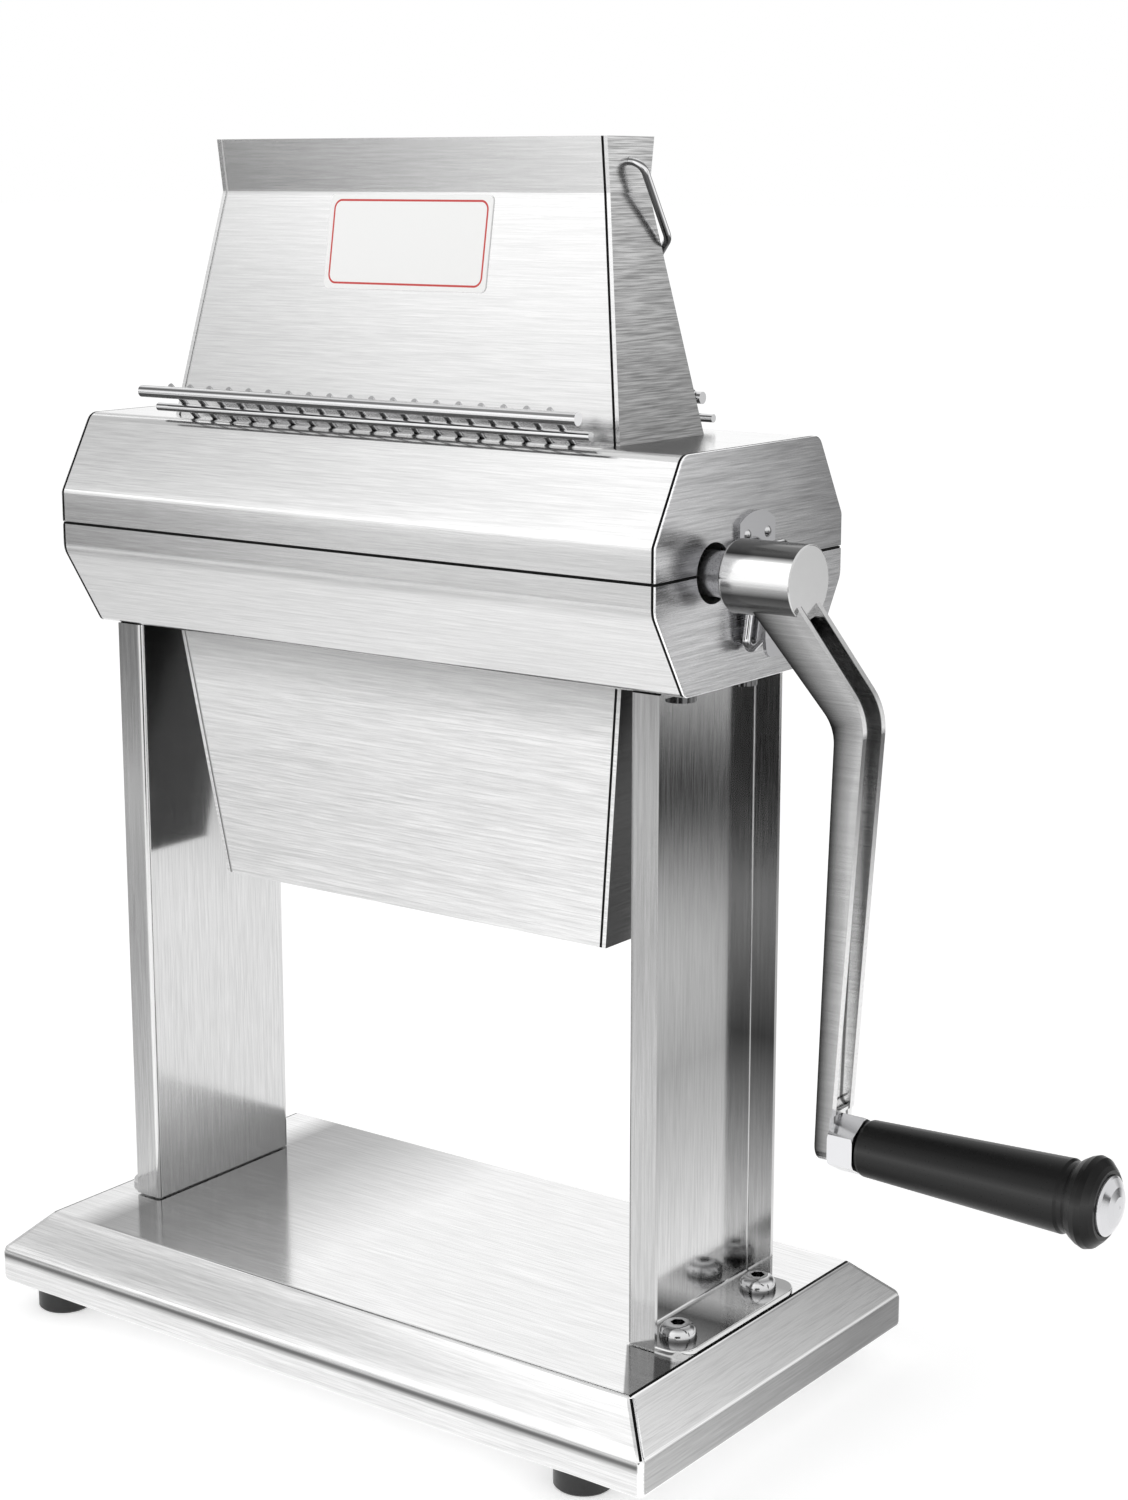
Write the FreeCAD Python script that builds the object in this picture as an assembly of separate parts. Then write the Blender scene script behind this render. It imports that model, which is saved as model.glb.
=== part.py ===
"""Hand-cranked meat tenderizer: a sheet-steel stand and head, two toothed rollers, a hopper and a crank.

Millimetres. X runs along the rollers towards the crank, Y from front to back, Z up from the floor.
Everything is modelled about the stand's centre, and moved along X at the end, so that the origin is the
centre of the whole machine's footprint.
"""
import FreeCAD, Part
import math
import os

V = FreeCAD.Vector

# ---- sheet metal -------------------------------------------------------------------------------
SHEET = 1.5            # thickness of every bent sheet
END_SHEET = 1.6        # thickness of the head's end plates
SEAM = 1.0             # width of the groove along a welded corner
SEAM_DEPTH = 0.8
BEAD_DROP = 0.25       # how far the dark bead in such a groove lies below the steel

# ---- base tray ---------------------------------------------------------------------------------
FOOT_HEIGHT = 11.2
LIP_TOP = 24.5
BASE_TOP = 38.5
BASE_LIP = (149.7, 84.2)        # half length and half depth at the lip
BASE_FLAT = (135.2, 69.65)      # half length and half depth of the flat top
BASE_OPENING = (112.0, 55.0)    # half sizes of the opening in the underside
BASE_FOLD = 3.0
FOLD_SHARE = 0.43      # how far a 45 degree fold moves the inside's corner, in sheet thicknesses
FOOT_X = (-133.8, 114.0)        # the feet stand further out on the left than on the crank's side
FOOT_Y = 66.5
FOOT_R = 10.3
FOOT_POCKET = (6.0, 6.0)        # radius and depth of the hollow under a foot
FOOT_SCREW_HEAD = (5.4, 3.5)    # radius and height

# ---- legs --------------------------------------------------------------------------------------
LEG_WEB = 110.8        # inner face of a leg's web
LEG_EDGE = 122.3       # outer edge of a leg's flanges
LEG_HALF = 37.3        # half of a leg's depth
LEG_FOLD = 1.9
LEG_BEND = 0.5         # radius inside a leg's bends
LEG_GAP = 0.6          # between the base and a leg's lower edge
FOOT_PLATE = 2.0       # thickness of the plate welded into a leg's foot
FOOT_PLATE_EDGE = 134.4
LEFT_PLATE_HALF = 32.2 # half depth of the left plate, which is narrower
FOOT_PLATE_WELD = 1.3  # radius of the weld's hollow between a plate and the leg's web
FOOT_PLATE_CORNER = 8.0
LEG_BOLT_AT = (123.7, 25.3)
BOLT_HEAD_R = 6.6
BOLT_LAND_R = 3.0
BOLT_HEAD_H = 5.0
BOLT_SOCKET = (3.0, 2.6)        # across the flats, and depth
BOLT_RIM = 0.7         # height of the head's upright rim
M6 = 3.0               # radius of an M6 shank
M6_HOLE = M6 + 0.1
M6_NUT = (10.0, 5.0)   # across the flats, and height
HEX_KEY = 4.0

# ---- head --------------------------------------------------------------------------------------
HEAD_HALF = 132.1      # half of the head's length
HEAD_BOTTOM = 264.3
HEAD_TOP = 342.1
HEAD_BAND = (293.0, 314.5)      # heights of the upright band round the middle
HEAD_WIDEST = 54.4
HEAD_TOP_HALF = 38.9
HEAD_BOTTOM_HALF = 37.0
HEAD_BACK = 4.0        # the back of the head is this much deeper than its front
HEAD_FOLDS = [(HEAD_TOP, 5.0), (HEAD_BAND[1], 3.0), (HEAD_BAND[0], 8.0), (HEAD_BOTTOM, 3.0)]    # (Z, radius)
PARTING = 302.9
PARTING_GAP = 1.0
SEAL_DROP = 0.4        # how far the parting line's seal lies behind the head's faces
SEAL_CLEAR = 0.3       # and below the cover
END_FLANGE = 6.0       # how far an end plate's flange reaches into the head
END_ROUND = 0.5        # rounding of an end plate's rim
SHAFT_HOLE_R = 10.0
STRIP_HALF = 118.0     # half length of a locating strip
STRIP_Z = (-8.0, 6.0)  # its reach below and above the parting line

# ---- hopper and chute: (height, half length, half depth) ---------------------------------------
HOPPER = [(HEAD_TOP, 99.2, 24.5), (421.9, 85.5, 11.1), (440.0, 85.8, 13.3)]
HOPPER_Y = -2.6        # the hopper stands a little in front of the head's middle
CHUTE = [(169.7, 87.8, 18.2), (HEAD_BOTTOM, 100.2, 27.0)]
LABEL = (71.5, 32.5, 0.4)       # width, height and thickness of the blank label
LABEL_AT = (2.6, 405.0)
LABEL_CORNER = 2.0

# ---- rollers -----------------------------------------------------------------------------------
AXIS_Y = 21.2          # half of the distance between the rollers' axes
AXIS_Z = PARTING
SHAFT_R = 7.5
PITCH = 9.34           # from one disc to the next on the same roller
DISCS_FRONT = 20
DISCS_REAR = 19
DISC_T = 1.8
DISC_R = 25.0
DISC_ROOT_R = 20.8
DISC_TEETH = 20
SPACER_R = 12.0
KEY = 3.0
BLOCK_X = (103.0, 114.0)        # bearing block, from its inner to its outer face
BLOCK_FOOT_X = 122.0
BLOCK_FOOT_TOP = 274.0
BLOCK_FOOT_HALF = 33.0
BLOCK_CORNERS = [(46.0, 290.0), (46.0, 318.0), (34.0, 330.0)]   # (Y, Z), from the foot upwards
BLOCK_SCREW_AT = (BLOCK_FOOT_X - 4.0, LEG_HALF / 2)
SCREW_HEAD = (5.2, 3.5)         # radius and height
BUSH_R = 11.0
BUSH_FLANGE = (2.0, 1.5)        # how far it stands out round the sleeve, and its thickness
SIDE_PLAY = 0.2        # between the spacers' ends and the bushes
RUNNING = 0.05         # radial clearance of a running fit
GEAR_X = (-123.4, -115.4)
GEAR_TEETH = 16
GEAR_TIP = 2.0         # height of a tooth above the pitch circle
GEAR_ROOT = 2.6        # and depth below it
GEAR_TOOTH = 0.45      # a tooth's width on the pitch circle, in parts of the spacing
CIRCLIP_T = 1.0
CIRCLIP_R = 9.8
GROOVE_R = 6.7
CIRCLIP_X = (GEAR_X[0] - CIRCLIP_T - 0.1, BLOCK_X[1] + 0.6)
CIRCLIP_MOUTH = 2.5
SHAFT_START = -126.6
REAR_SHAFT_END = 118.5
KEY_X = [(3.0 - BLOCK_X[0], BLOCK_X[0] - 3.0), GEAR_X]  # the key under the discs and under the gear

# ---- crank -------------------------------------------------------------------------------------
HUB_X = (140.6, 167.6)
HUB_R = 12.1
SHAFT_END = 160.0
GRUB_R = 2.5
GRUB_LENGTH = 4.2
ARM_Y = (AXIS_Y - 7.0, AXIS_Y + 7.0)    # the arm's sides, measured towards the front
ARM_FLANGE = 2.7
ARM_WEB = 2.4
ARM_X = (170.0, 200.0)          # limits that hold the lower arm
ARM_SIDE = [((147.5, 297.2), 0), ((182.0, 259.6), 14), ((177.6, 115.3), 0), ((182.9, 115.3), 0),
            ((192.7, 264.7), 20), ((167.6, 296.0), 0)]      # (X, Z) corners and their radii
ARM_GROOVE = [((150.5, 299.0), 0), ((182.0 + ARM_WEB, 260.6), 14), ((178.3 + ARM_WEB, 133.5), 3),
              ((200.0, 133.5), 0), ((200.0, 280.0), 0), ((170.0, 305.0), 0)]
SPINDLE_Z = 122.3
SPINDLE_R = 4.0
NUT_X = (183.3, 192.5)
NUT_FLATS = 17.0
NUT_CHAMFER = (11.0, 9.2, 1.1)  # radius at the middle and at the faces, and the chamfer's length
GRIP_X = (193.0, 277.2)
GRIP_SMALL_R = 9.3
GRIP_LARGE_R = 11.8
GRIP_FLANGE_R = 14.5
GRIP_BORE_R = SPINDLE_R + RUNNING
GRIP_POCKET = (262.0, 7.6)      # where the pocket behind the cap starts, and its radius
SPINDLE_HEAD = (6.4, 3.5)       # radius and thickness of the spindle's head in that pocket
SPINDLE_START = 176.6
CAP_R = 9.4
CAP_END = 281.0

# ---- combs -------------------------------------------------------------------------------------
TINES = 19
TINE_R = 1.0
TINE_START = (44.6, 354.0)      # distance from the middle plane, and height, at the upper rod
TINE_ANGLE = 42.5      # below level, towards the rollers
TINE_TIP = 0.5         # how far a tine stands past the upper rod
TINE_LENGTH = 41.0
COMB_RODS = [(0.0, 2.15), (9.7, 1.45)]  # distance along the tines and radius, upper then lower
COMB_HALF = {"front": (96.6, 96.1), "rear": (87.0, 96.6)}
TINE_BITE = 0.4        # how deep a tine is welded into a rod
TINE_SLOT = (5.0, 26.0, 0.3)    # the slot's cutter along a tine, and its clearance

# ---- bail on the hopper ------------------------------------------------------------------------
BAIL_R = 1.35
BAIL_PIVOT = (-3.2, 432.0)      # (Y, Z) of its pins in the hopper's sides
BAIL_SLANT = 32.1      # how far the arms lean back from straight down, in degrees
BAIL_HALF = [(81.5, 0.0), (90.5, 0.0), (90.5, 29.5), (82.0, 38.5)]     # (X, distance from the pivot)
BAIL_BEND = 4.5

# ---- latches: X is measured from the end plate's face, on both sides ---------------------------
LATCH_Y = 2.3
CATCH_HALF = 10.7
CATCH_Z = (305.0, 321.0)
CATCH_SHOULDER = 3.5            # height of the catch plate's arched top
CATCH_RIVET = (6.1, 313.4)      # distance from the middle, and height
HOOK = (1.5, 4.9, 307.6)        # the hook's inner and outer face and the top of its lip
HOOK_HALF = 6.5
HOOK_SHEET = 1.3
LATCH_PLATE = (4.5, 279.2, 301.0)       # half width, bottom and top
LATCH_RIVET_Z = (282.5, 297.0)
EAR_Y = (3.3, 4.5)
EAR_R = 2.8
LATCH_PIVOT = (5.1, 290.0)
LATCH_PIN_R = 1.5
LOOP_PIVOT = (3.0, 277.5)
LOOP_R = 1.4
LOOP_HALF = 8.7
LOOP_TOP = (6.9, 310.0)         # the loop leans out from the plate, past the hook
LOOP_BEND = 2.6
LEVER_HALF = 6.0
LEVER_SHEET = 1.2
LEVER_FRONT = 7.6      # inner face of the lever's front
LEVER_EAR_R = 3.0
LOOP_EAR_R = 2.4       # radius of the lever's ears round the loop's bar
LEVER_LOW = 280.0      # where the tail begins
TAIL = (0.8, 273.8, 3.0)        # how far the tail flares out, its end's height and corner radius
RIVET_R = 1.9


# ---- shapes ------------------------------------------------------------------------------------
def box(x, y, z):
    """A box between two limits along each axis."""
    return Part.makeBox(x[1] - x[0], y[1] - y[0], z[1] - z[0], V(x[0], y[0], z[0]))


def sides(half):
    return (-half, half)


def rod(start, end, radius):
    """A round rod from one point to another."""
    start = V(*start)
    run = V(*end) - start
    return Part.makeCylinder(radius, run.Length, start, run)


def rod_x(x, y, z, radius):
    return rod((x[0], y, z), (x[1], y, z), radius)


def rod_z(x, y, z, radius):
    return rod((x, y, z[0]), (x, y, z[1]), radius)


def prism(points, push):
    """A closed polygon pushed along a vector."""
    corners = [V(*p) for p in points]
    return Part.Face(Part.makePolygon(corners + corners[:1])).extrude(V(*push))


def prism_x(points_yz, x):
    return prism([(x[0], y, z) for y, z in points_yz], (x[1] - x[0], 0, 0))


def prism_z(points_xy, z):
    return prism([(x, y, z[0]) for x, y in points_xy], (0, 0, z[1] - z[0]))


def turned(profile, y, z):
    """A solid of revolution about an X axis, from (x, radius) points."""
    corners = [V(x, 0, r) for x, r in profile]
    solid = Part.Face(Part.makePolygon(corners + corners[:1])).revolve(V(0, 0, 0), V(1, 0, 0), 360)
    return moved(solid, y=y, z=z)


def moved(shape, x=0.0, y=0.0, z=0.0):
    copy = shape.copy()
    copy.translate(V(x, y, z))
    return copy


def mirrored(shape, normal):
    return shape.mirror(V(0, 0, 0), V(*normal))


def hexagon(x, y, flats):
    radius = flats / math.sqrt(3)
    turns = [math.radians(60 * i) for i in range(6)]
    return [(x + radius * math.cos(a), y + radius * math.sin(a)) for a in turns]


def edges_along(shape, axis, keep=lambda centre: True):
    """Straight edges that run along one axis."""
    found = []
    for edge in shape.Edges:
        run = edge.Vertexes[-1].Point - edge.Vertexes[0].Point
        along = abs(getattr(run, axis))
        if along > 0.2 and along > 0.999 * run.Length and keep(edge.CenterOfMass):
            found.append(edge)
    return found


def level_edges(shape, z):
    """Edges that lie at one height."""
    return [e for e in shape.Edges if all(abs(v.Point.z - z) < 1e-4 for v in e.Vertexes)]


def rectangle(x, y, z):
    return Part.makePolygon([V(-x, -y, z), V(x, -y, z), V(x, y, z), V(-x, y, z), V(-x, -y, z)])


def stack(levels, in_x=0.0, in_y=0.0):
    """A solid through rectangles at rising heights, each drawn in by the same amounts."""
    rings = [rectangle(x - in_x, y - in_y, z) for z, x, y in levels]
    parts = [Part.makeLoft([low, high], True, True) for low, high in zip(rings, rings[1:])]
    return parts[0].multiFuse(parts[1:]) if len(parts) > 1 else parts[0]


def group(shapes):
    return Part.makeCompound(shapes)


def whole(shape):
    """The one solid of a boolean result, with its split faces joined."""
    return shape.removeSplitter().Solids[0]


def path_rod(points, radius, bend):
    """A round rod along a path in one plane, with each corner bent to an arc."""
    corners = [V(*p) for p in points]
    edges = []
    start = corners[0]
    for before, corner, after in zip(corners, corners[1:], corners[2:]):
        inward = (before - corner).normalize()
        outward = (after - corner).normalize()
        half = inward.getAngle(outward) / 2
        back = bend / math.tan(half)
        first = corner + inward * back
        last = corner + outward * back
        middle_way = (inward + outward).normalize()
        middle = corner + middle_way * (bend / math.sin(half) - bend)
        edges += [Part.makeLine(start, first), Part.Arc(first, middle, last).toShape()]
        start = last
    edges.append(Part.makeLine(start, corners[-1]))
    section = Part.Wire(Part.makeCircle(radius, corners[0], corners[1] - corners[0]))
    return Part.Wire(edges).makePipeShell([section], True, False).Solids[0]


def rounded_outline(points, z_face):
    """A face from (point, radius) pairs in the XZ plane at one Y, with its corners rounded."""
    edges = []
    count = len(points)
    joints = []
    for i, ((x, z), radius) in enumerate(points):
        corner = V(x, z_face, z)
        before = V(points[i - 1][0][0], z_face, points[i - 1][0][1])
        after = V(points[(i + 1) % count][0][0], z_face, points[(i + 1) % count][0][1])
        inward = (before - corner).normalize()
        outward = (after - corner).normalize()
        if not radius:
            joints.append((corner, None, corner))
            continue
        half = inward.getAngle(outward) / 2
        back = radius / math.tan(half)
        way = (inward + outward).normalize()
        middle = corner + way * (radius / math.sin(half) - radius)
        joints.append((corner + inward * back, middle, corner + outward * back))
    for i, (first, middle, last) in enumerate(joints):
        if middle is not None:
            edges.append(Part.Arc(first, middle, last).toShape())
        edges.append(Part.makeLine(last, joints[(i + 1) % count][0]))
    return Part.Face(Part.Wire(edges))


# ---- stand -------------------------------------------------------------------------------------
def base_form(by):
    """The tray's outer form drawn in by some thickness, with its folds rounded."""
    (lip_x, lip_y), (flat_x, flat_y) = BASE_LIP, BASE_FLAT
    step = by * FOLD_SHARE
    levels = [(FOOT_HEIGHT + by, lip_x - by, lip_y - by), (LIP_TOP - step, lip_x - by, lip_y - by),
              (BASE_TOP - by, flat_x - step, flat_y - step)]
    solid = whole(stack(levels))
    return solid.makeFillet(BASE_FOLD - by, solid.Edges)


def base_shell():
    opening = box(sides(BASE_OPENING[0]), sides(BASE_OPENING[1]), (0.0, FOOT_HEIGHT + 2 * SHEET))
    return base_form(0.0).cut(base_form(SHEET)).cut(opening)


def base_seams():
    """Shallow grooves along the ends of the flat top and down the four hips."""
    grooves = []
    x, y = BASE_FLAT
    lip_x, lip_y = BASE_LIP
    for sx in (-1, 1):
        grooves.append(box(sorted((sx * x, sx * (x - SEAM))), sides(y), (BASE_TOP - SEAM_DEPTH, BASE_TOP + 1)))
        for sy in (-1, 1):
            top = V(sx * x, sy * y, BASE_TOP)
            low = V(sx * lip_x, sy * lip_y, LIP_TOP)
            across = V(0, 0, 1).cross(low - top).normalize() * (SEAM / 2)
            drop = V(0, 0, -SEAM_DEPTH * 1.4)
            lift = V(0, 0, 2.0)
            ring = [top + across + drop, top - across + drop, top - across + lift, top + across + lift]
            grooves.append(Part.Face(Part.makePolygon(ring + ring[:1])).extrude((low - top) * 0.97))
    return grooves


def base_beads():
    """What fills those grooves, a little below the steel."""
    grooves = base_seams()
    return grooves[0].multiFuse(grooves[1:]).common(base_form(BEAD_DROP)).Solids


def base_tray():
    foot_hole = rod_z(0, 0, (0, FOOT_HEIGHT + 2 * SHEET), M6_HOLE)
    bolt_hole = rod_z(0, 0, (BASE_TOP - 2 * SHEET, BASE_TOP + 1), M6_HOLE)
    cutters = base_seams() + [at_feet(foot_hole), at_corners(bolt_hole, LEG_BOLT_AT)]
    return base_shell().cut(group(cutters)).Solids[0]


def at_corners(shape, spot):
    """Four copies of a shape modelled at X 0, Y 0, one at each corner."""
    return group([moved(shape, sx * spot[0], sy * spot[1]) for sx in (-1, 1) for sy in (-1, 1)])


def at_feet(shape):
    """Four copies of a shape modelled at X 0, Y 0, one at each foot."""
    return group([moved(shape, x, side * FOOT_Y) for x in FOOT_X for side in (-1, 1)])


def rubber_feet():
    foot = rod_z(0, 0, (0, FOOT_HEIGHT), FOOT_R)
    foot = foot.makeChamfer(0.8, level_edges(foot, 0.0))
    bore = rod_z(0, 0, (0, FOOT_HEIGHT), M6_HOLE)
    pocket = rod_z(0, 0, (0, FOOT_POCKET[1]), FOOT_POCKET[0])
    return at_feet(foot.cut(bore).cut(pocket))


def foot_screws():
    radius, height = FOOT_SCREW_HEAD
    seat = FOOT_POCKET[1]
    head = rod_z(0, 0, (seat - height, seat), radius)
    socket = prism_z(hexagon(0, 0, HEX_KEY), (seat - height, seat - height + 2.0))
    shank = rod_z(0, 0, (seat, FOOT_HEIGHT + SHEET + M6_NUT[1] + 1.5), M6)
    return at_feet(whole(head.cut(socket).fuse(shank)))


def nut(z):
    flats, height = M6_NUT
    reach = (z, z + height)
    return prism_z(hexagon(0, 0, flats), reach).cut(rod_z(0, 0, reach, M6))


def leg_bolt():
    seat = BASE_TOP + FOOT_PLATE
    rim = seat + BOLT_RIM
    cone = Part.makeCone(BOLT_HEAD_R, BOLT_LAND_R, BOLT_HEAD_H - BOLT_RIM, V(0, 0, rim))
    head = whole(rod_z(0, 0, (seat, rim), BOLT_HEAD_R).fuse(cone))
    head = head.makeFillet(0.5, level_edges(head, rim) + level_edges(head, seat + BOLT_HEAD_H))
    flats, depth = BOLT_SOCKET
    socket = prism_z(hexagon(0, 0, flats), (seat + BOLT_HEAD_H - depth, seat + BOLT_HEAD_H + 1))
    shank = rod_z(0, 0, (BASE_TOP - SHEET - M6_NUT[1] - 1.5, seat), M6)
    return whole(head.cut(socket).fuse(shank))


def leg():
    """The crank side's leg: a channel open to the outside, with a tab closing its top."""
    foot = BASE_TOP + LEG_GAP
    outer = box((LEG_WEB, LEG_EDGE), sides(LEG_HALF), (foot, HEAD_BOTTOM))
    outer = outer.makeFillet(LEG_FOLD, edges_along(outer, "z", lambda c: c.x < LEG_WEB + 1))
    hollow = box((LEG_WEB + SHEET, LEG_EDGE + 1), sides(LEG_HALF - SHEET), (foot - 1, HEAD_BOTTOM - SHEET))
    hollow = hollow.makeFillet(LEG_BEND, edges_along(hollow, "z", lambda c: c.x < LEG_WEB + 3))
    screw_x, screw_y = BLOCK_SCREW_AT
    holes = [rod_z(screw_x, side * screw_y, (HEAD_BOTTOM - 4, HEAD_BOTTOM + 1), M6_HOLE) for side in (-1, 1)]
    return outer.cut(hollow).cut(group(holes)).Solids[0]


def foot_plate(inner_half, outer_half):
    """A plate with a hollow weld along the web; half depths between the flanges and beyond them."""
    web, top = LEG_WEB + SHEET, BASE_TOP + FOOT_PLATE
    plate = box((web, FOOT_PLATE_EDGE), sides(inner_half), (BASE_TOP, top))
    if outer_half > inner_half:
        plate = whole(plate.fuse(box((LEG_EDGE, FOOT_PLATE_EDGE), sides(outer_half), (BASE_TOP, top))))
    plate = plate.makeFillet(LEG_BEND, edges_along(plate, "z", lambda c: c.x < web + 1))
    plate = plate.makeFillet(FOOT_PLATE_CORNER, edges_along(plate, "z", lambda c: c.x > LEG_EDGE + 1))
    plate = plate.makeFillet(0.6, [e for e in level_edges(plate, top) if e.CenterOfMass.x > LEG_EDGE + 0.5])
    weld = FOOT_PLATE_WELD
    run = sides(inner_half - LEG_BEND)
    bead = box((web, web + weld), run, (top, top + weld))
    bead = bead.cut(rod((web + weld, run[0], top + weld), (web + weld, run[1], top + weld), weld))
    hole = rod_z(0, 0, (BASE_TOP - 1, top + 1), M6_HOLE)
    return plate.fuse(bead).cut(at_corners(hole, LEG_BOLT_AT)).Solids[0]


# ---- head casing -------------------------------------------------------------------------------
def head_outline():
    """The head's section: an octagon, as (Y, Z) points going round."""
    low, high = HEAD_BAND
    half = [(HEAD_BOTTOM_HALF, HEAD_BOTTOM), (HEAD_WIDEST, low), (HEAD_WIDEST, high), (HEAD_TOP_HALF, HEAD_TOP)]
    return [(y + HEAD_BACK, z) for y, z in half] + [(-y, z) for y, z in reversed(half)]


def drawn_in(points, by):
    """A convex outline, going round anticlockwise, with every side moved inwards."""
    lines = []
    for (y0, z0), (y1, z1) in zip(points, points[1:] + points[:1]):
        length = math.hypot(y1 - y0, z1 - z0)
        inward = (-(z1 - z0) / length, (y1 - y0) / length)
        lines.append(((y0 + inward[0] * by, z0 + inward[1] * by), (y1 - y0, z1 - z0)))
    corners = []
    for (p, a), (q, b) in zip(lines[-1:] + lines[:-1], lines):
        cross = a[0] * b[1] - a[1] * b[0]
        t = ((q[0] - p[0]) * b[1] - (q[1] - p[1]) * b[0]) / cross
        corners.append((p[0] + a[0] * t, p[1] + a[1] * t))
    return corners


def head_bar(by, x):
    """A solid bar of the head's section drawn in by some thickness, with rounded folds."""
    bar = prism_x(drawn_in(head_outline(), by), x)
    for z, radius in HEAD_FOLDS:
        folds = edges_along(bar, "x", lambda centre: abs(centre.z - z) < 4.0)
        bar = bar.makeFillet(max(radius - by, 0.4), folds)
    return bar


def above():
    return box(sides(300), sides(100), (PARTING + PARTING_GAP / 2, HEAD_TOP + 50))


def below():
    return box(sides(300), sides(100), (HEAD_BOTTOM - 50, PARTING - PARTING_GAP / 2))


def head_sheet():
    """The folded sheet of both halves."""
    reach = HEAD_HALF - END_SHEET
    return head_bar(0, sides(reach)).cut(head_bar(SHEET, sides(reach + 1)))


def end_groove(top):
    """What lies in the groove round the crank side's end plate, from some depth to its bottom."""
    reach = HEAD_HALF - END_SHEET
    x = (reach, reach + SEAM)
    return head_bar(top, x).cut(head_bar(SEAM_DEPTH, x))


def end_plate():
    """The crank side's end plate of both halves, with a flange that fits inside the folded sheet."""
    reach = HEAD_HALF - END_SHEET
    plate = head_bar(0, (reach, HEAD_HALF))
    rim = [e for e in plate.Edges if all(abs(v.Point.x - HEAD_HALF) < 1e-4 for v in e.Vertexes)]
    plate = plate.makeFillet(END_ROUND, rim).cut(end_groove(0.0))
    flange_x = (reach - END_FLANGE, reach)
    flange = head_bar(SHEET, flange_x).cut(head_bar(2 * SHEET, (flange_x[0] - 1, flange_x[1] + 1)))
    return plate.fuse(flange)


def upper_end():
    return whole(end_plate().common(above()))


def lower_end():
    return whole(end_plate().common(below()))


def tine_place(distance, side):
    """A point on a tine's axis, by its distance along it; side is -1 in front and 1 behind."""
    angle = math.radians(TINE_ANGLE)
    return (side * (TINE_START[0] - distance * math.cos(angle)), TINE_START[1] - distance * math.sin(angle))


def tine_positions(side):
    shift = 0 if side < 0 else -PITCH / 2
    return [(k - (TINES - 1) / 2) * PITCH + shift for k in range(TINES)]


def tine_slots():
    """Slots in the head's top, one for each tine, cut along its slope."""
    slots = []
    for side in (-1, 1):
        for x in tine_positions(side):
            ends = [tine_place(distance, side) for distance in TINE_SLOT[:2]]
            slots.append(rod((x, *ends[0]), (x, *ends[1]), TINE_R + TINE_SLOT[2]))
    return slots


def upper_housing():
    sheet = head_sheet().common(above())
    _, half_x, half_y = HOPPER[0]
    mouth = box(sides(half_x - SHEET), sides(half_y - SHEET), (HEAD_TOP - 5, HEAD_TOP + 5))
    mouth = moved(mouth, y=HOPPER_Y)
    return whole(sheet.cut(mouth).cut(group(tine_slots())))


def lower_housing():
    sheet = head_sheet().common(below())
    _, half_x, half_y = CHUTE[-1]
    mouth = box(sides(half_x - SHEET), sides(half_y - SHEET), (HEAD_BOTTOM - 5, HEAD_BOTTOM + 5))
    holes = at_corners(rod_z(0, 0, (HEAD_BOTTOM - 4, HEAD_BOTTOM + 4), M6_HOLE), BLOCK_SCREW_AT)
    return whole(sheet.cut(mouth).cut(holes))


def corner_grooves(levels, top):
    """What lies in the grooves where the front and back meet the sides, from some depth to their bottom."""
    strips = stack(levels, SHEET, -5).cut(stack(levels, SHEET + SEAM, -6))
    return strips.common(stack(levels, 0, top).cut(stack(levels, 0, SEAM_DEPTH)))


def walls(levels):
    """Four sheet walls through the levels, with a groove along each corner."""
    return stack(levels).cut(stack(levels, SHEET, SHEET)).cut(corner_grooves(levels, -4))


def hopper():
    pins = rod_x(sides(100), *BAIL_PIVOT, BAIL_R + 0.08)
    return whole(moved(walls(HOPPER), y=HOPPER_Y).cut(pins))


def chute():
    return whole(walls(CHUTE))


def label_plate():
    """A blank plate on the slope of the hopper's front."""
    (low, _, low_y), (high, _, high_y), _ = HOPPER
    slope = math.atan2(low_y - high_y, high - low)
    width, height, thick = LABEL
    plate = box(sides(width / 2), (-thick, 0), sides(height / 2))
    plate = plate.makeFillet(LABEL_CORNER, edges_along(plate, "y"))
    plate.rotate(V(0, 0, 0), V(1, 0, 0), -math.degrees(slope))
    front = high_y + (high - LABEL_AT[1]) * math.tan(slope)
    return moved(plate, LABEL_AT[0], HOPPER_Y - front, LABEL_AT[1])


def front_and_back(shape):
    """A shape modelled behind the middle, moved to the head's back wall and mirrored to its front wall."""
    return [moved(shape, y=HEAD_BACK), mirrored(shape, (0, 1, 0))]


def locating_strips():
    """Strips inside the lower half that stand up past the parting line and hold the cover in place."""
    wall = HEAD_WIDEST - SHEET
    low, high = PARTING + STRIP_Z[0], PARTING + STRIP_Z[1]
    strip = box(sides(STRIP_HALF), (wall - 1.2, wall), (low, PARTING - PARTING_GAP / 2))
    lip = box(sides(STRIP_HALF), (wall - 1.6, wall - 0.4), (low, high))
    return group(front_and_back(whole(strip.fuse(lip))))


def cover_seats():
    """Pads on the lower end plates' flanges that the cover rests on."""
    reach = HEAD_HALF - END_SHEET
    wall = HEAD_WIDEST - SHEET
    height = (PARTING - PARTING_GAP / 2, PARTING + PARTING_GAP / 2 - 0.05)
    pad = box((reach - END_FLANGE, reach), (wall - SHEET, wall), height)
    return both_ends(front_and_back(pad))


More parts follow.
